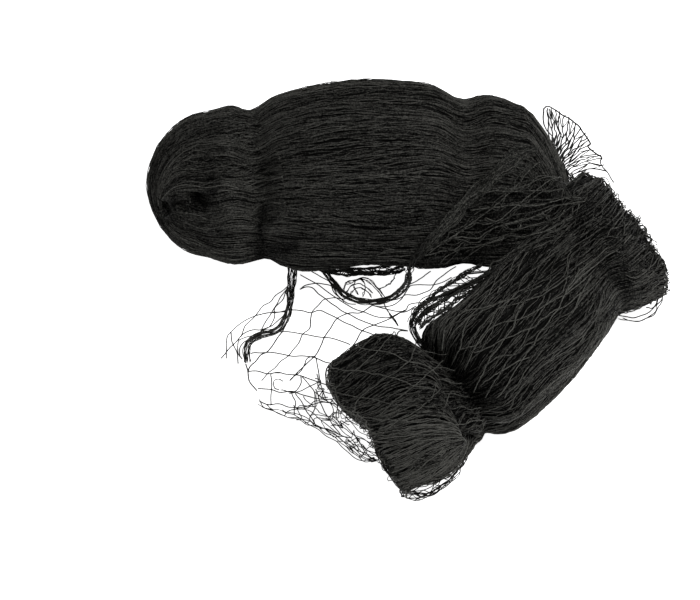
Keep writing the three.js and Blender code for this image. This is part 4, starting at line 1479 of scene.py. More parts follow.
@dataclass
class LooseNet:
    """The open net shaken loose between the hanks, and what hangs out of them."""

    lower: LowerHank
    radius: float = 0.46
    step: float = 1.6
    crumple_points: tuple[int, int] = (80, 34)  # in the twines along the folded edge and across it
    crumple_shares: tuple[float, ...] = (0.14, 0.34, 0.56, 0.8)  # of the way from the edge to the rim
    crumple_starts: Sequence[float] = tuple(np.linspace(0.22, 0.95, 11))  # places along the edge
    # flat width, length and area of the flap and of the folded front edge, in metres
    flap_flat: Pair = (0.055, 0.125)
    flap_cut: float = 0.005
    front_flat: Pair = (0.025, 0.11)
    front_cut: float = 0.0022
    loop_heights: tuple[float, ...] = (42.0, 43.0, 42.0, 41.0, 42.0)  # of the points of the loops on the rim
    flap_count: int = 20  # lines of the flap
    flap_ties: tuple[float, ...] = (0.12, 0.28, 0.48, 0.7, 0.88)  # places of the twines across the flap
    # lines of the open net on the floor
    open_lines: Lines = (
        ((-84, 8), (-80, 12), (-74, 13), (-62, 13), (-57, 10), (-53, 3), (-47, -4)),
        ((-85, 8), (-80, 10), (-75, 9), (-68, 3), (-57, -6), (-44, -15), (-33, -21), (-21, -26), (-8, -28),
         (6, -31)),
        ((-85, 22), (-73, 15), (-63, 7), (-54, 0), (-46, -6), (-37, -11), (-30, -14), (-22, -17), (-12, -19),
         (-7, -18)),
        ((-75, 25), (-67, 20), (-59, 14), (-56, 7), (-52, 1), (-45, -5), (-37, -6)),
        ((-122, -17), (-114, -15), (-100, -13), (-89, -11), (-83, -12), (-75, -14), (-68, -12), (-52, -20),
         (-33, -30), (-22, -35)),
        ((-102, -32), (-92, -32), (-81, -34), (-64, -37), (-53, -39), (-42, -44)),
        ((-125, -52), (-120, -51), (-105, -51), (-92, -54), (-83, -54), (-74, -55), (-66, -58), (-57, -61)),
        ((-126, -68), (-119, -68), (-109, -70), (-102, -69), (-96, -70), (-83, -72), (-75, -75), (-58, -81)),
        ((-118, -83), (-109, -84), (-102, -86), (-92, -86), (-86, -87), (-77, -90), (-65, -93), (-53, -92)),
        ((-116, -95), (-110, -97), (-99, -97), (-91, -100), (-81, -100), (-71, -97), (-63, -95),
         (-44, -101)),
        ((-46, -1), (-63, -1), (-68, -6), (-74, -14), (-76, -28), (-81, -34), (-88, -47), (-93, -53),
         (-109, -69), (-115, -76)),
        ((-22, -6), (-33, -14), (-44, -15), (-53, -20), (-59, -30), (-64, -38), (-66, -44), (-70, -52),
         (-78, -61), (-92, -76)),
        ((5, -12), (0, -15), (-8, -19), (-22, -26), (-29, -29), (-33, -33), (-37, -40), (-40, -46)),
        ((-96, -26), (-101, -35), (-106, -43), (-111, -50), (-116, -53), (-120, -58), (-124, -63),
         (-126, -68)),
        ((-129, -61), (-127, -67), (-126, -72), (-124, -78), (-119, -85)),
        ((-28, -4), (-21, -8), (-11, -8), (-4, -6), (2, -1), (4, 3), (9, 11), (14, 12), (28, 12), (36, 14),
         (45, 19)),
        ((-12, -1), (-4, -2), (1, 0), (5, 3), (14, 2), (21, 5), (27, 8), (32, 16), (39, 22), (49, 30)),
        ((5, 12), (14, 15), (18, 18), (27, 25)),
        ((-22, -7), (-8, -12), (-2, -13), (5, -12), (8, -7), (14, -5), (21, -4)),
        ((-15, -1), (-11, -11), (-7, -17), (-3, -22), (-1, -27), (-3, -24), (-9, -15)),
        ((-8, -19), (-4, -16), (1, -14), (6, -13), (14, -8)),
        ((-4, -38), (0, -31), (6, -31)),
    )
    # crossed strands that fan out on the left
    fan_lines: Lines = (
        ((-94, 12), (-100, 6), (-106, 1), (-110, -4), (-117, -9), (-122, -17), (-130, -26), (-133, -36)),
        ((-95, 10), (-102, -1), (-105, -7), (-108, -14), (-112, -21), (-116, -29), (-117, -36)),
        ((-96, 7), (-100, -3), (-106, -11), (-106, -20), (-109, -26), (-116, -31)),
        ((-96, 5), (-95, -4), (-98, -16), (-104, -23), (-116, -30), (-124, -30), (-131, -34), (-141, -45),
         (-149, -56)),
        ((-97, -13), (-108, -14), (-122, -17), (-134, -24), (-142, -32), (-145, -37), (-145, -46),
         (-145, -56)),
        ((-111, -35), (-118, -35), (-125, -36), (-130, -37), (-135, -40), (-136, -46), (-135, -52),
         (-132, -57)),
        ((-116, -37), (-124, -39), (-131, -41), (-134, -48), (-134, -54)),
        ((-142, -32), (-141, -40), (-139, -45), (-136, -52), (-135, -61)),
    )
    # lines of the net drawn up over the front fan, and the ridges of its lower fold
    over_lines: Lines = (
        ((-63, -60), (-56, -80), (-45, -86), (-36, -91), (-28, -94), (-20, -100), (-3, -110), (8, -115),
         (24, -118)),
        ((-40, -45), (-34, -71), (-28, -77), (-19, -82), (-11, -85), (-3, -91), (5, -95), (14, -97),
         (20, -100), (25, -106)),
        ((-58, -81), (-51, -101), (-41, -107), (-31, -113), (-23, -117), (-15, -123), (-6, -127), (14, -131),
         (24, -131)),
        ((-46, -101), (-42, -118), (-35, -130), (-26, -133), (-15, -136), (-3, -138), (9, -142), (22, -140),
         (34, -142)),
        ((-1, -40), (-10, -67), (-15, -74), (-20, -82), (-25, -86), (-31, -91), (-36, -94), (-41, -100),
         (-46, -103)),
        ((10, -71), (5, -91), (0, -97), (-7, -103), (-13, -105), (-19, -109), (-24, -112), (-33, -119),
         (-36, -125)),
        ((31, -89), (22, -100), (15, -107), (8, -114), (2, -118), (-3, -122), (-8, -125), (-15, -129),
         (-23, -134)),
        ((27, -117), (21, -123), (14, -129), (8, -134), (2, -137), (-3, -138), (-15, -145)),
    )
    fold_lines: Lines = (
        ((43, -149), (30, -150), (14, -150), (0, -147), (-13, -146), (-23, -145)),
        ((44, -149), (32, -152), (19, -154), (5, -153), (-11, -154), (-18, -155)),
        ((45, -149), (35, -153), (25, -157), (14, -162), (5, -168), (-5, -171), (-10, -172)),
        ((46, -150), (37, -153), (27, -160), (17, -167), (7, -173), (0, -175), (-7, -177)),
        ((47, -151), (40, -156), (31, -163), (23, -170), (13, -175), (5, -178)),
    )
    # lines of the net over the lower hank, from the front neck to the rear one
    hank_lines: Lines = (
        ((22, -69), (23, -61), (24, -59)),
        ((29, -83), (30, -76), (31, -68), (35, -66), (43, -60), (53, -58), (62, -58), (75, -55), (85, -53)),
        ((37, -93), (41, -88), (43, -81), (46, -72), (50, -64), (54, -63), (62, -60), (72, -56), (83, -53),
         (93, -48), (105, -42)),
        ((46, -100), (50, -94), (57, -82), (62, -76), (69, -63), (72, -60), (82, -59), (93, -55), (103, -51),
         (119, -40), (128, -32)),
        ((53, -115), (55, -111), (58, -107), (61, -103), (66, -95), (72, -88), (77, -82), (82, -76),
         (84, -67), (90, -58)),
        ((61, -121), (67, -114), (71, -109), (76, -100), (83, -94), (89, -88), (94, -78), (97, -73),
         (102, -66), (108, -56), (111, -49)),
        ((69, -123), (77, -116), (81, -109), (88, -99), (95, -91), (100, -83), (112, -67), (118, -58),
         (124, -46), (130, -36), (136, -25)),
        ((76, -122), (84, -115), (92, -105), (99, -97), (106, -89), (114, -80), (122, -71), (129, -60),
         (134, -50), (141, -37), (147, -26)),
        ((42, -87), (52, -87), (57, -84), (67, -74), (77, -72), (87, -70), (97, -65), (105, -60), (116, -53),
         (124, -48), (141, -32)),
        ((52, -92), (62, -90), (72, -86), (79, -83), (89, -79), (97, -76), (105, -69), (110, -65),
         (121, -59), (130, -51), (139, -43)),
        ((59, -102), (68, -98), (76, -96), (84, -95), (91, -89), (101, -85), (110, -78), (118, -72),
         (129, -60), (136, -50), (144, -40)),
        ((57, -113), (67, -109), (76, -105), (86, -100), (97, -96), (107, -89), (118, -82), (129, -74),
         (139, -62), (146, -51)),
    )
    # strands across the front neck
    wisps: Lines = (
        ((10, -86), (17, -83), (23, -84), (32, -86)),
        ((17, -98), (24, -98), (30, -97), (39, -98)),
        ((23, -110), (30, -108), (36, -110), (44, -108)),
        ((29, -121), (36, -119), (41, -120), (50, -117)),
        ((36, -131), (43, -128), (49, -129), (59, -125)),
        ((31, -143), (40, -142), (49, -138), (61, -132)),
    )
    # curled strands in front and the folded edge along which they lie
    curl_lines: Lines = (
        ((-92, -76), (-84, -69), (-79, -61), (-78, -57), (-75, -55), (-71, -55), (-69, -61), (-67, -76),
         (-65, -85), (-62, -92)),
        ((-70, -70), (-68, -76), (-68, -81), (-64, -86), (-65, -91), (-61, -94)),
        ((-71, -74), (-66, -77), (-69, -83), (-63, -84), (-67, -90), (-60, -91)),
        ((-83, -72), (-82, -78), (-86, -85), (-92, -86), (-99, -85)),
        ((-97, -77), (-102, -75), (-105, -78), (-103, -83), (-100, -84)),
        ((-99, -69), (-107, -70), (-107, -76), (-106, -82), (-107, -89), (-107, -98)),
        ((-81, -73), (-74, -82), (-71, -90), (-71, -100), (-74, -108)),
        ((-87, -87), (-81, -97), (-75, -107), (-70, -115)),
        ((-91, -86), (-87, -94), (-88, -107)),
        ((-92, -88), (-83, -86), (-77, -82), (-67, -77)),
        ((-70, -84), (-67, -94), (-61, -107), (-54, -118)),
        ((-58, -93), (-53, -99), (-53, -108), (-48, -118)),
    )
    edge_lines: Lines = (
        ((-117, -94), (-111, -100), (-102, -104), (-93, -108), (-83, -112), (-70, -117), (-58, -124),
         (-46, -133), (-34, -144), (-26, -147), (-20, -146)),
        ((-117, -97), (-107, -103), (-95, -107), (-83, -110), (-68, -120), (-54, -129), (-42, -140),
         (-32, -146), (-24, -144)),
        ((-114, -96), (-103, -101), (-89, -107), (-78, -111), (-65, -118), (-50, -127), (-40, -134),
         (-29, -141), (-19, -141)),
    )
    rim_line: Rows = (
        (-74, -70), (-66, -78), (-59, -88), (-50, -104), (-39, -120), (-29, -136), (-20, -146),
    )
    # corner of net behind the right ends of the hanks: its scalloped edge, its left edge and its lines
    flap_edges: Lines = (
        ((135, 191, 2), (137, 194, 1), (141, 192, 3), (148, 182, 8), (156, 173, 12), (162, 163, 16),
         (167, 149, 20), (170, 140, 22), (167, 136, 24), (173, 128, 26), (178, 122, 28), (175, 116, 30),
         (180, 104, 33), (184, 93, 35)),
        ((135, 191, 2), (132, 171, 8), (134, 162, 12), (138, 151, 16), (138, 143, 20)),
    )
    # where the flap comes out between the hanks
    flap_roots: Rows = (
        (137, 112, 32), (139, 98, 38), (141, 82, 46), (144, 72, 52), (148, 67, 58), (154, 70, 62),
        (158, 79, 62),
    )
    flap_lines: Lines = (
        ((134, 139, 22), (134, 155, 16), (136, 173, 9), (138, 191, 2)),
        ((137, 136, 24), (141, 152, 18), (142, 170, 10), (142, 191, 2)),
        ((138, 130, 26), (144, 147, 20), (146, 167, 12), (149, 184, 6)),
        ((140, 126, 27), (149, 144, 21), (152, 158, 16), (157, 174, 11)),
        ((141, 120, 29), (150, 136, 24), (157, 152, 18), (162, 164, 15)),
        ((142, 116, 31), (150, 128, 27), (161, 144, 21), (168, 152, 18)),
        ((143, 112, 32), (151, 122, 29), (162, 136, 24), (170, 142, 21)),
        ((143, 107, 34), (151, 116, 31), (162, 126, 27), (174, 129, 24)),
        ((145, 103, 36), (153, 111, 33), (165, 118, 30), (178, 123, 27)),
        ((148, 98, 37), (158, 105, 35), (167, 108, 34), (179, 106, 32)),
    )
    # loops out of the right end
    end_loops: Lines = (
        ((216, 13, 30), (219, 5, 24), (220, -2, 16), (219, -11, 8), (213, -18, 3), (202, -22, 1),
         (192, -22, 1), (184, -20, 2)),
        ((187, -20, 3), (197, -23, 2), (207, -21, 2), (214, -16, 6), (216, -12, 14), (213, -7, 22)),
        ((211, 1, 26), (216, 0, 20), (216, -6, 16), (211, -8, 14), (208, -5, 20)),
        ((211, -8, 12), (216, -8, 10), (213, -13, 8), (207, -13, 8)),
        ((217, 14, 24), (221, 9, 16), (223, 3, 10), (222, -2, 6), (218, -7, 3), (210, -15, 1.5),
         (199, -19, 1), (191, -18, 1), (184, -16, 1.5)),
        ((214, 4, 20), (219, 1, 14), (221, -2, 10), (216, -5, 8), (211, -7, 7), (206, -10, 6), (203, -7, 8),
         (207, -5, 12), (211, -2, 16)),
        ((205, -9, 8), (209, -4, 12), (212, -9, 6), (215, -1, 14), (218, -6, 6), (218, 3, 16), (222, 0, 8),
         (218, 7, 20)),
    )
    # net at the foot of the front fan's rim
    rim_lines: Lines = (
        ((-62, -109, 1), (-52, -115, 1), (-44, -120, 1), (-34, -127, 1.5), (-27, -131, 2), (-21, -136, 3)),
        ((-63, -92, 1), (-55, -99, 1), (-48, -106, 1), (-40, -115, 1.5), (-34, -122, 2), (-25, -127, 3)),
        ((-58, -116, 1), (-49, -115, 1), (-40, -110, 1.5), (-32, -114, 3)),
        ((-52, -130, 1), (-44, -130, 1), (-36, -127, 1.5), (-26, -131, 2), (-20, -139, 3)),
        ((-42, -137, 1), (-34, -132, 1), (-28, -137, 1.5), (-19, -144, 2)),
        ((-34, -144, 1), (-29, -137, 1), (-24, -132, 2), (-21, -127, 3)),
        ((-39, -120, 1), (-36, -128, 1), (-31, -135, 1.5), (-26, -139, 2), (-20, -141, 3)),
    )
    # small loops out of that rim
    rim_loops: Lines = (
        ((-47, -115), (-51, -116), (-52, -117), (-51, -119), (-47, -119)),
        ((-44, -120), (-48, -121), (-50, -123), (-48, -125), (-44, -125)),
        ((-41, -124), (-45, -125), (-46, -126), (-45, -128), (-41, -128)),
        ((-30, -130), (-34, -131), (-35, -132), (-34, -134), (-30, -134)),
        ((-24, -137), (-28, -138), (-29, -140), (-28, -142), (-24, -142)),
        ((-22, -145), (-25, -145), (-27, -147), (-25, -149), (-22, -148)),
        ((-16, -159), (-20, -159), (-21, -161), (-20, -162), (-16, -162)),
        ((-13, -164), (-17, -164), (-18, -166), (-17, -168), (-13, -168)),
        ((-8, -173), (-12, -173), (-13, -175), (-12, -176), (-8, -176)),
    )
    # the strip of net under the front fan
    fan_edges: Lines = (
        ((51, -143, 14), (46, -151, 9), (40, -157, 6), (32, -163, 4), (22, -168, 3), (10, -172, 2),
         (1, -173, 2), (-2, -178, 31)),
        ((50, -147, 10), (46, -154, 6), (38, -162, 4), (28, -168, 3), (17, -173, 2), (4, -174, 1.5),
         (-1, -178, 28)),
        ((53, -139, 18), (50, -149, 12), (44, -159, 6), (33, -169, 3), (17, -177, 1), (2, -177, 1),
         (-3, -179, 33)),
        ((52, -141, 14), (48, -152, 9), (39, -163, 4), (26, -173, 2), (12, -179, 1), (0, -176, 2),
         (-3, -178, 32)),
        ((49, -149, 12), (41, -160, 8), (29, -169, 5), (17, -174, 3), (6, -173, 2), (-1, -169, 3)),
        ((50, -145, 12), (45, -155, 8), (35, -165, 4), (21, -175, 2), (7, -178, 1)),
    )

    def lay(self, twine: Twine, lines: Lines, rng: Rng, wave: float, wide: float = 1.0) -> list[Array]:
        """Lays single twines along lines.

        Args:
            twine: Takes the strands.
            lines: Places that each line goes through, on the floor or with heights.
            rng: Source of the seeded numbers.
            wave: How far a twine wavers.
            wide: Share of the usual thickness.

        Returns:
            The lines as laid.
        """
        laid = []
        for places in lines:
            places = np.asarray(places, float)
            line = even_route(raised(places, FLOOR_CLEAR) if places.shape[1] == 2 else places, self.step)
            stray = waver(rng, len(line), columns=3, terms=4, waves=max(2.0, len(line) / 8.0))
            line = clear_floor(line + wave * stray)
            twine.add(line, self.radius * wide, rng.uniform(0.0, 0.6))
            laid.append(line)
        return laid

    def build_spread(self) -> None:
        """Makes the open net on the floor between the hanks."""
        rng = Seed.SPREAD.rng()
        twine = Twine(4)
        laid = self.lay(twine, self.open_lines, rng, wave=0.4, wide=1.2)
        laid += self.lay(twine, self.fan_lines, rng, wave=0.4)
        twine.knots(crossings(laid, near=1.2), radius=0.75, shade=0.4)
        piece = twine.build("net_spread_twine", OPEN_BLACK, Slot.OPEN)
        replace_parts(piece, "net_spread")

    def build_over(self) -> None:
        """Makes the net that is drawn over the lower hank, with strands across its front neck."""
        rng = Seed.OVER.rng()
        twine = Twine(4)
        for lines, rise, pale, radius in (
            (self.over_lines, 2.4, 0.82, 0.42),
            (self.fold_lines, 1.0, 0.8, 0.46),
            (self.hank_lines, 1.2, 0.8, 0.5),
            (self.wisps, 1.0, 0.7, 0.42),
        ):
            for places in lines:
                flat = even_route(places, self.step)
                stray = waver(rng, len(flat), columns=2, terms=4, waves=max(2.0, len(flat) / 9.0))
                flat = flat + 0.5 * stray + 0.12 * rng.normal(0.0, 1.0, flat.shape)
                rest = self.lower.top(flat[:, 0], flat[:, 1], rise)
                on, span = np.flatnonzero(rest > 0.0), np.arange(len(rest))
                rest = np.interp(span, on, rest[on], left=FLOOR_CLEAR, right=FLOOR_CLEAR)
                line = self.lower.settle(raised(flat, rest_on(rest, 12)))
                twine.add(line, radius, pale * rng.uniform(0.6, 1.0))
        twine.build("net_over_twine", PROUD_BLACK, Slot.OPEN)

    def build_front(self) -> None:
        """Makes the folded front edge of the net and the curls behind it."""
        rng = Seed.FRONT.rng()
        twine = Twine(4)
        self.lay(twine, self.curl_lines, rng, wave=0.5)
        self.lay(twine, self.edge_lines, rng, wave=0.9, wide=0.9)
        along, across = self.crumple_points
        front, rim = (route(side, along) for side in (self.edge_lines[0], self.rim_line))
        t = np.linspace(0.0, 1.0, along)
        for share in self.crumple_shares:
            drift = share + 0.09 * waver(rng, along, columns=1, terms=4, waves=5.0)[:, 0]
            shift = 0.02 * waver(rng, along, columns=1, terms=3, waves=6.0)[:, 0]
            place = np.clip(0.16 + 0.84 * t + shift, 0.0, 1.0)
            self.crumple(twine, front, rim, place, drift, rng)
        t = np.linspace(0.0, 1.0, across)
        for start in self.crumple_starts:
            lean = rng.normal(0.0, 0.06) * t + 0.05 * waver(rng, across, columns=1, terms=3, waves=3.0)[:, 0]
            self.crumple(twine, front, rim, np.clip(start + lean, 0.0, 1.0), t, rng)
        piece = twine.build("net_front_twine", OPEN_BLACK, Slot.OPEN)
        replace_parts(piece, "net_front")

    def crumple(self, twine: Twine, front: Array, rim: Array, place: Array, share: Array, rng: Rng) -> None:
        """Lays a twine of the crumpled net between its front edge and the rim of the front fan.

        Args:
            twine: Takes the strand.
            front: The front edge.
            rim: The rim of the fan.
            place: Places along both, from 0 to 1.
            share: From 0 at the front edge to 1 at the rim.
            rng: Source of the seeded numbers.
        """
        keys = np.linspace(0.0, 1.0, len(front))
        near, far = (
            np.stack([np.interp(place, keys, side[:, k]) for k in (0, 1)], axis=1) for side in (front, rim)
        )
        flat = near + (far - near) * share[:, None]
        high = FLOOR_CLEAR + rng.uniform(0.0, 3.0) * np.sin(math.pi * np.linspace(0.0, 1.0, len(place))) ** 2
        twine.add(raised(flat, high), 0.9 * self.radius, rng.uniform(0.1, 0.7))

    def build_flap(self) -> None:
        """Makes the loose corner of net behind the right ends of the hanks."""
        rng = Seed.FLAP.rng()
        twine = Twine(4)
        self.lay(twine, self.flap_edges, rng, wave=0.5, wide=1.5)
        roots = route(self.flap_roots, len(self.flap_lines))[:, None, :]
        rows = np.concatenate([roots, np.asarray(self.flap_lines, float)], axis=1)
        fine = Track(range(len(rows)), rows.reshape(len(rows), -1))
        lines = fine.at(np.linspace(0.0, len(rows) - 1.0, self.flap_count)).reshape(self.flap_count, -1, 3)
        laid = self.lay(twine, lines, rng, wave=0.9, wide=1.3)
        for share in self.flap_ties:
            steps = [line[int((share + 0.08 * (-1) ** k) * (len(line) - 1))] for k, line in enumerate(laid)]
            twine.add(even_route(steps, self.step), self.radius, 0.4)
        piece = twine.build("net_flap_twine", OPEN_BLACK, Slot.OPEN)
        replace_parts(piece, "net_flap")

    def build_loops(self) -> None:
        """Makes the loops out of the right end, and the net and loops under and beside the front fan."""
        rng = Seed.END_LOOPS.rng()
        twine = Twine(4)
        self.lay(twine, self.end_loops, rng, wave=0.6, wide=1.15)
        laid = self.lay(twine, self.fan_edges, rng, wave=1.2, wide=0.8)
        for first, second in zip(laid[:-1], laid[1:]):
            sides, picks = (first, second), enumerate(np.linspace(0.03, 0.97, 20))
            steps = [sides[k % 2][int(pick * (len(sides[k % 2]) - 1))] for k, pick in picks]
            twine.add(even_route(steps, self.step), 0.8 * self.radius, rng.uniform(0.2, 0.8))
        heights = np.array(self.loop_heights)
        loops = tuple(raised(np.asarray(places, float), heights) for places in self.rim_loops)
        self.lay(twine, self.rim_lines + loops, rng, wave=0.6, wide=0.8)
        twine.build("end_loops_twine", OPEN_BLACK, Slot.OPEN)


@dataclass
class Gathered:
    """Net pulled together like rope along a route."""

    name: str
    node: str
    places: Rows
    radius: float
    far_end: str
    strands: int = 20
    points: int = 90
    flare: float = 0.0  # how far the start spreads out
    seed: Seed = Seed.TAIL
    strand_radius: float = 0.38

    def bundle(self, rng: Rng) -> tuple[Array, Array]:
        """Strands twisted along the route.

        Args:
            rng: Source of the seeded numbers.

        Returns:
            The route's middle line and the strands.
        """
        middle = route(self.places, self.points)
        along = np.gradient(middle, axis=0)
        along /= np.linalg.norm(along, axis=1, keepdims=True)
        side = np.cross(along, np.array([0.0, 0.0, 1.0]))
        side /= np.maximum(np.linalg.norm(side, axis=1, keepdims=True), TINY)
        up = np.cross(side, along)
        t = np.linspace(0.0, 1.0, self.points)[None, :]
        start = np.arange(self.strands)[:, None] + rng.uniform(0.0, 1.0, (self.strands, 1))
        start = TAU * start / self.strands
        turn = start + 0.4 * TAU * t * rng.uniform(-0.4, 1.0, (self.strands, 1))
        turn = turn + 0.35 * np.sin(TAU * 3.0 * t + 3.0 * start)
        out = np.sqrt(rng.uniform(0.1, 1.0, (self.strands, 1)))
        reach = self.radius * (0.2 + 0.68 * out) * (1.0 + 0.12 * np.sin(TAU * 4.0 * t + start))
        reach = reach + 0.3 * np.sin(TAU * 9.0 * t + 5.0 * start) + self.flare * out * ease(0.42 - t, 0.3)
        lines = middle[None] + reach[..., None] * (
            np.cos(turn)[..., None] * side[None] + np.sin(turn)[..., None] * up[None]
        )
        return middle, clear_floor(lines)

    def build(self) -> None:
        rng = self.seed.rng()
        middle, lines = self.bundle(rng)
        twine = Twine()
        twine.add(lines, self.strand_radius, rng.uniform(0.1, 1.1, self.strands))
        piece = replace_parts(twine.build(self.name, OPEN_BLACK, Slot.GATHERED), self.node)
        path = (middle - MIDDLE) * MM
        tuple(path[0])


TAIL = Gathered(
    "gathered_tail_twine",
    "gathered_tail",
    (
        (-91, 44, 6), (-91, 24, 6), (-92, 7, 6), (-93, -9, 6), (-96, -23, 6), (-103, -33, 6), (-116, -37, 6),
        (-125, -43, 6), (-128, -52, 6), (-127, -62, 6),
    ),
    radius=3.2, far_end="bare", flare=2.6,
)
LOOP = Gathered(
    "gathered_loop_twine",
    "gathered_loop",
    (
        (-70, 40, 6), (-63, 22, 6), (-55, 10, 6), (-46, 0, 6), (-34, -6, 6), (-18, -6, 6), (-7, -4, 8),
        (0, -4, 20), (5, -4, 36), (6, -4, 50),
    ),
    radius=3.4, far_end="object", strands=22, seed=Seed.LOOP,
)
EDGE = Gathered(
    "gathered_edge_twine",
    "gathered_edge",
    (
        (98, -2, 72), (84, -6, 70), (63, -15, 62), (44, -21, 56), (28, -27, 50), (14, -35, 43), (9, -46, 40),
        (16, -62, 42), (26, -74, 42),
    ),
    radius=3.2, far_end="object", seed=Seed.EDGE,
)


@dataclass
class SideStrands:
    """Thin bundles beside the gathered strands, with slits of daylight between them."""

    step: float = 2.0
    radius: float = 0.44
    weave_strands: int = 4
    weave_points: int = 60
    weave_radius: float = 0.48
    # thin bundles beside the gathered edge, under the upper hank, inside the loop and at the top of the tail
    edge_routes: Lines = (
        ((6, -44, 45), (10, -36, 45), (17, -27, 45), (26, -19, 45), (37, -10, 45), (48, -3, 45), (58, 3, 46),
         (67, 8, 48)),
        ((11, -46, 50), (18, -39, 50), (26, -32, 50), (34, -25, 50), (44, -19, 50), (54, -13, 50),
         (64, -7, 50), (74, -1, 52), (82, 4, 54)),
        ((14, -53, 55), (24, -45, 55), (33, -38, 55), (43, -30, 55), (53, -23, 55), (63, -18, 55),
         (73, -12, 56), (82, -6, 58)),
        ((5, -5, 40), (6, -4, 54), (8, 0, 70), (14, 5, 80), (24, 14, 88)),
    )
    hank_routes: Lines = (
        ((-74, 23, 14), (-63, 22, 14), (-46, 21, 14), (-29, 21, 14), (-12, 23, 14), (2, 27, 14)),
        ((-69, 22, 10), (-55, 21, 10), (-38, 20, 10), (-21, 20, 10), (-6, 22, 10), (4, 26, 10)),
        ((-66, 22, 6), (-51, 19, 6), (-33, 19, 6), (-16, 19, 6), (-3, 21, 6), (5, 24, 6)),
    )
    loop_routes: Lines = (
        ((-47, 5, 5), (-45, 12, 5), (-39, 14, 5), (-33, 15, 5), (-26, 13, 5), (-21, 7, 5), (-14, -2, 5)),
        ((-46, 12, 4), (-40, 12, 4), (-35, 16, 4), (-30, 17, 4), (-24, 14, 4), (-18, 6, 4), (-13, 0, 4)),
        ((-18, 5, 6), (-11, 9, 6), (-6, 13, 6), (-3, 20, 6), (-1, 26, 6)),
        ((-45, 3, 5), (-40, 10, 5), (-34, 11, 5), (-28, 8, 5), (-23, 2, 5)),
        ((-43, -1, 5), (-39, 5, 5), (-34, 7, 5), (-28, 4, 5), (-24, -2, 5)),
        ((-37, 15, 5), (-39, 8, 5), (-35, 1, 5)),
        ((-32, 15, 5), (-29, 8, 5), (-31, -1, 5)),
    )
    tail_routes: Lines = (
        ((-95, 28, 5), (-94, 17, 5), (-94, 8, 5), (-95, -1, 5), (-94, -9, 5), (-93, -17, 5)),
        ((-91, 28, 5), (-90, 17, 5), (-90, 8, 5), (-92, -1, 5), (-93, -11, 5)),
    )

    def build(self) -> None:
        """Makes the thin bundles."""
        rng = Seed.SIDE_STRANDS.rng()
        twine = Twine()
        for routes, strands, thick in (
            (self.edge_routes, 12, 1.7),
            (self.hank_routes, 8, 1.1),
            (self.loop_routes, 2, 0.7),
            (self.tail_routes, 3, 0.9),
        ):
            for places in routes:
                line = even_route(places, self.step)
                for _ in range(strands):
                    stray = thick * waver(rng, len(line), columns=3, terms=4, waves=6.0)
                    strand = clear_floor(line + stray + rng.normal(0.0, 0.35 * thick, 3))
                    twine.add(strand, self.radius, rng.uniform(0.0, 0.9))
        for routes in (self.edge_routes[:3], self.hank_routes):
            for first, second in zip(routes[:-1], routes[1:]):
                self.weave(twine, route(first, self.weave_points), route(second, self.weave_points), rng)
        twine.build("side_strands_twine", OPEN_BLACK, Slot.GATHERED)

    def weave(self, twine: Twine, first: Array, second: Array, rng: Rng) -> None:
        """Crosses strands from one bundle to the next, which parts the daylight between them.

        Args:
            twine: Takes the strands.
            first: Middle line of the one bundle.
            second: Middle line of the other.
            rng: Source of the seeded numbers.
        """
        t = np.linspace(0.0, 1.0, len(first))
        for _ in range(self.weave_strands):
            swing = np.sin(TAU * (rng.uniform(3.0, 4.5) * t + rng.uniform(0.0, 1.0)))
            share = (0.5 + 0.55 * swing)[:, None]
            twine.add(first * (1.0 - share) + second * share, self.weave_radius, rng.uniform(0.0, 0.6))


@dataclass
class NeckTie:
    """Doubled twine that draws in the left neck of the upper hank."""

    upper: UpperHank
    along: float = -121.0
    radius: float = 0.5
    points: int = 60  # on each side
    depth: float = -1.6
    lowest: float = 0.8
    apart: float = 0.7  # from the tie's middle to each of its twines

    def build(self) -> None:
        """Makes the tie around the neck."""
        fall = np.linspace(0.0, math.pi, self.points)
        leg = self.upper.leg_share * (self.along - self.upper.first) / (self.upper.last - self.upper.first)
        rear, front = (
            self.upper.place(np.full(self.points, share), fall, np.array(self.depth))
            for share in (leg, 0.5 + self.upper.leg_share - leg)
        )
        loop = clear_floor(np.concatenate([rear, front[::-1][1:-1]]), self.lowest)
        twine = Twine(4)
        for shift in (-self.apart, self.apart):
            twine.add(loop + np.array([shift, 0.0, 0.0]), self.radius, 0.2, Run.RING)
        piece = twine.build("tie_upper_twine", TIE_BLACK, Slot.TIE)
        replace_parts(piece, "tie_upper")


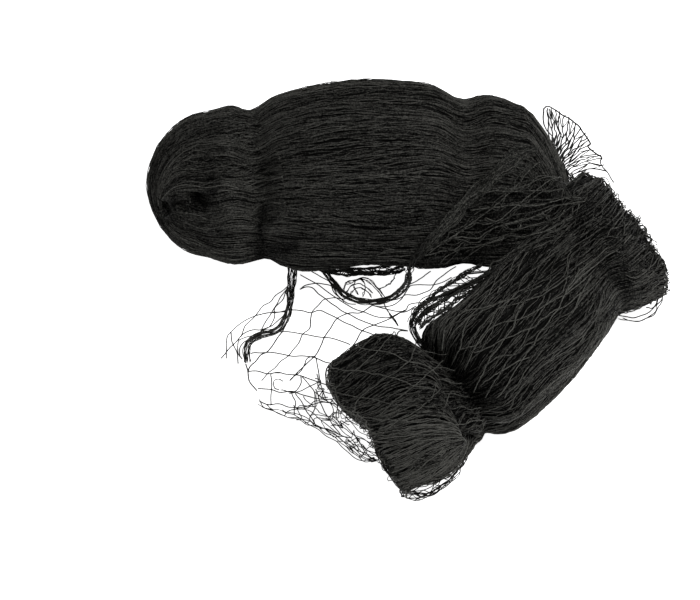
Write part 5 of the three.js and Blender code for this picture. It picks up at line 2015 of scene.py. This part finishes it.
@dataclass(frozen=True)
class Studio:
    """Pale floor, soft light and a camera at the photograph's viewing angle."""

    aim: Triple = (-0.04417, -0.00645, 0.0)
    elevation: float = math.radians(64.0)
    distance: float = 1.157
    lens: float = 70.0
    sensor: float = 36.0
    floor_size: float = 12.0
    floor_drop: float = 0.0005  # how far the floor lies under the netting
    floor_tone: float = 0.93
    floor_rough: float = 0.9
    floor_glow: float = 0.95
    sky: float = 0.12
    # name, place, size and power of the lights
    lights: tuple[tuple[str, Triple, float, float], ...] = (
        ("key", (0.8, 0.1, 1.5), 0.5, 24.0),
        ("fill", (-1.2, -0.9, 1.4), 1.4, 9.0),
    )

    def build_camera(self) -> None:
        """Makes the camera."""
        data = bpy.data.cameras.new("camera")
        data.sensor_width, data.lens = self.sensor, self.lens
        camera = bpy.data.objects.new("camera", data)
        camera.location = (
            self.aim[0],
            self.aim[1] - self.distance * math.cos(self.elevation),
            self.distance * math.sin(self.elevation),
        )
        camera.rotation_euler = (math.pi / 2.0 - self.elevation, 0.0, 0.0)
        bpy.context.scene.collection.objects.link(camera)
        bpy.context.scene.camera = camera

    def build_floor(self) -> None:
        """Makes the floor."""
        bpy.ops.mesh.primitive_plane_add(size=self.floor_size, location=(0.0, 0.0, -self.floor_drop))
        floor = bpy.context.object
        floor.name = "floor"
        finish = Shading("floor", 0.0)
        for name, value in (
            ("Base Color", (self.floor_tone, self.floor_tone, self.floor_tone, 1.0)),
            ("Roughness", self.floor_rough),
            ("Emission Color", (1.0, 1.0, 1.0, 1.0)),
            ("Emission Strength", self.floor_glow),
        ):
            finish.shader.inputs[name].default_value = value
        floor.data.materials.append(finish.material)

    def build_light(self) -> None:
        """Makes the soft light."""
        scene = bpy.context.scene
        scene.view_settings.view_transform = "Standard"
        world = bpy.data.worlds.new("studio")
        world.use_nodes = True
        sky = world.node_tree.nodes["Background"]
        sky.inputs["Color"].default_value = (1.0, 1.0, 1.0, 1.0)
        sky.inputs["Strength"].default_value = self.sky
        scene.world = world
        for name, place, size, power in self.lights:
            data = bpy.data.lights.new(name, "AREA")
            data.size, data.energy = size, power
            light = bpy.data.objects.new(name, data)
            light.location = place
            scene.collection.objects.link(light)
            light.rotation_euler = (
                math.acos(place[2] / math.hypot(*place)),
                0.0,
                math.atan2(place[1], place[0]) + math.pi / 2.0,
            )


def main() -> None:
    """Builds the netting and its studio in order."""
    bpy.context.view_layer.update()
    studio = Studio()
    studio.build_camera()
    for strand in (TAIL, LOOP, EDGE):
        strand.build()
    upper = UpperHank()
    upper.build_core()
    upper.build_strands()
    lower = LowerHank(upper)
    lower.build_core()
    lower.build_strands()
    lower.build_meshes()
    lower.build_fringe()
    comb_hanks(upper, lower)
    Swath(upper, lower).build()
    loose = LooseNet(lower)
    loose.build_spread()
    loose.build_over()
    loose.build_front()
    loose.build_flap()
    loose.build_loops()
    SideStrands().build()
    NeckTie(upper).build()
    studio.build_floor()
    studio.build_light()
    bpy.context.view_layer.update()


if __name__ == "__main__":
    main()
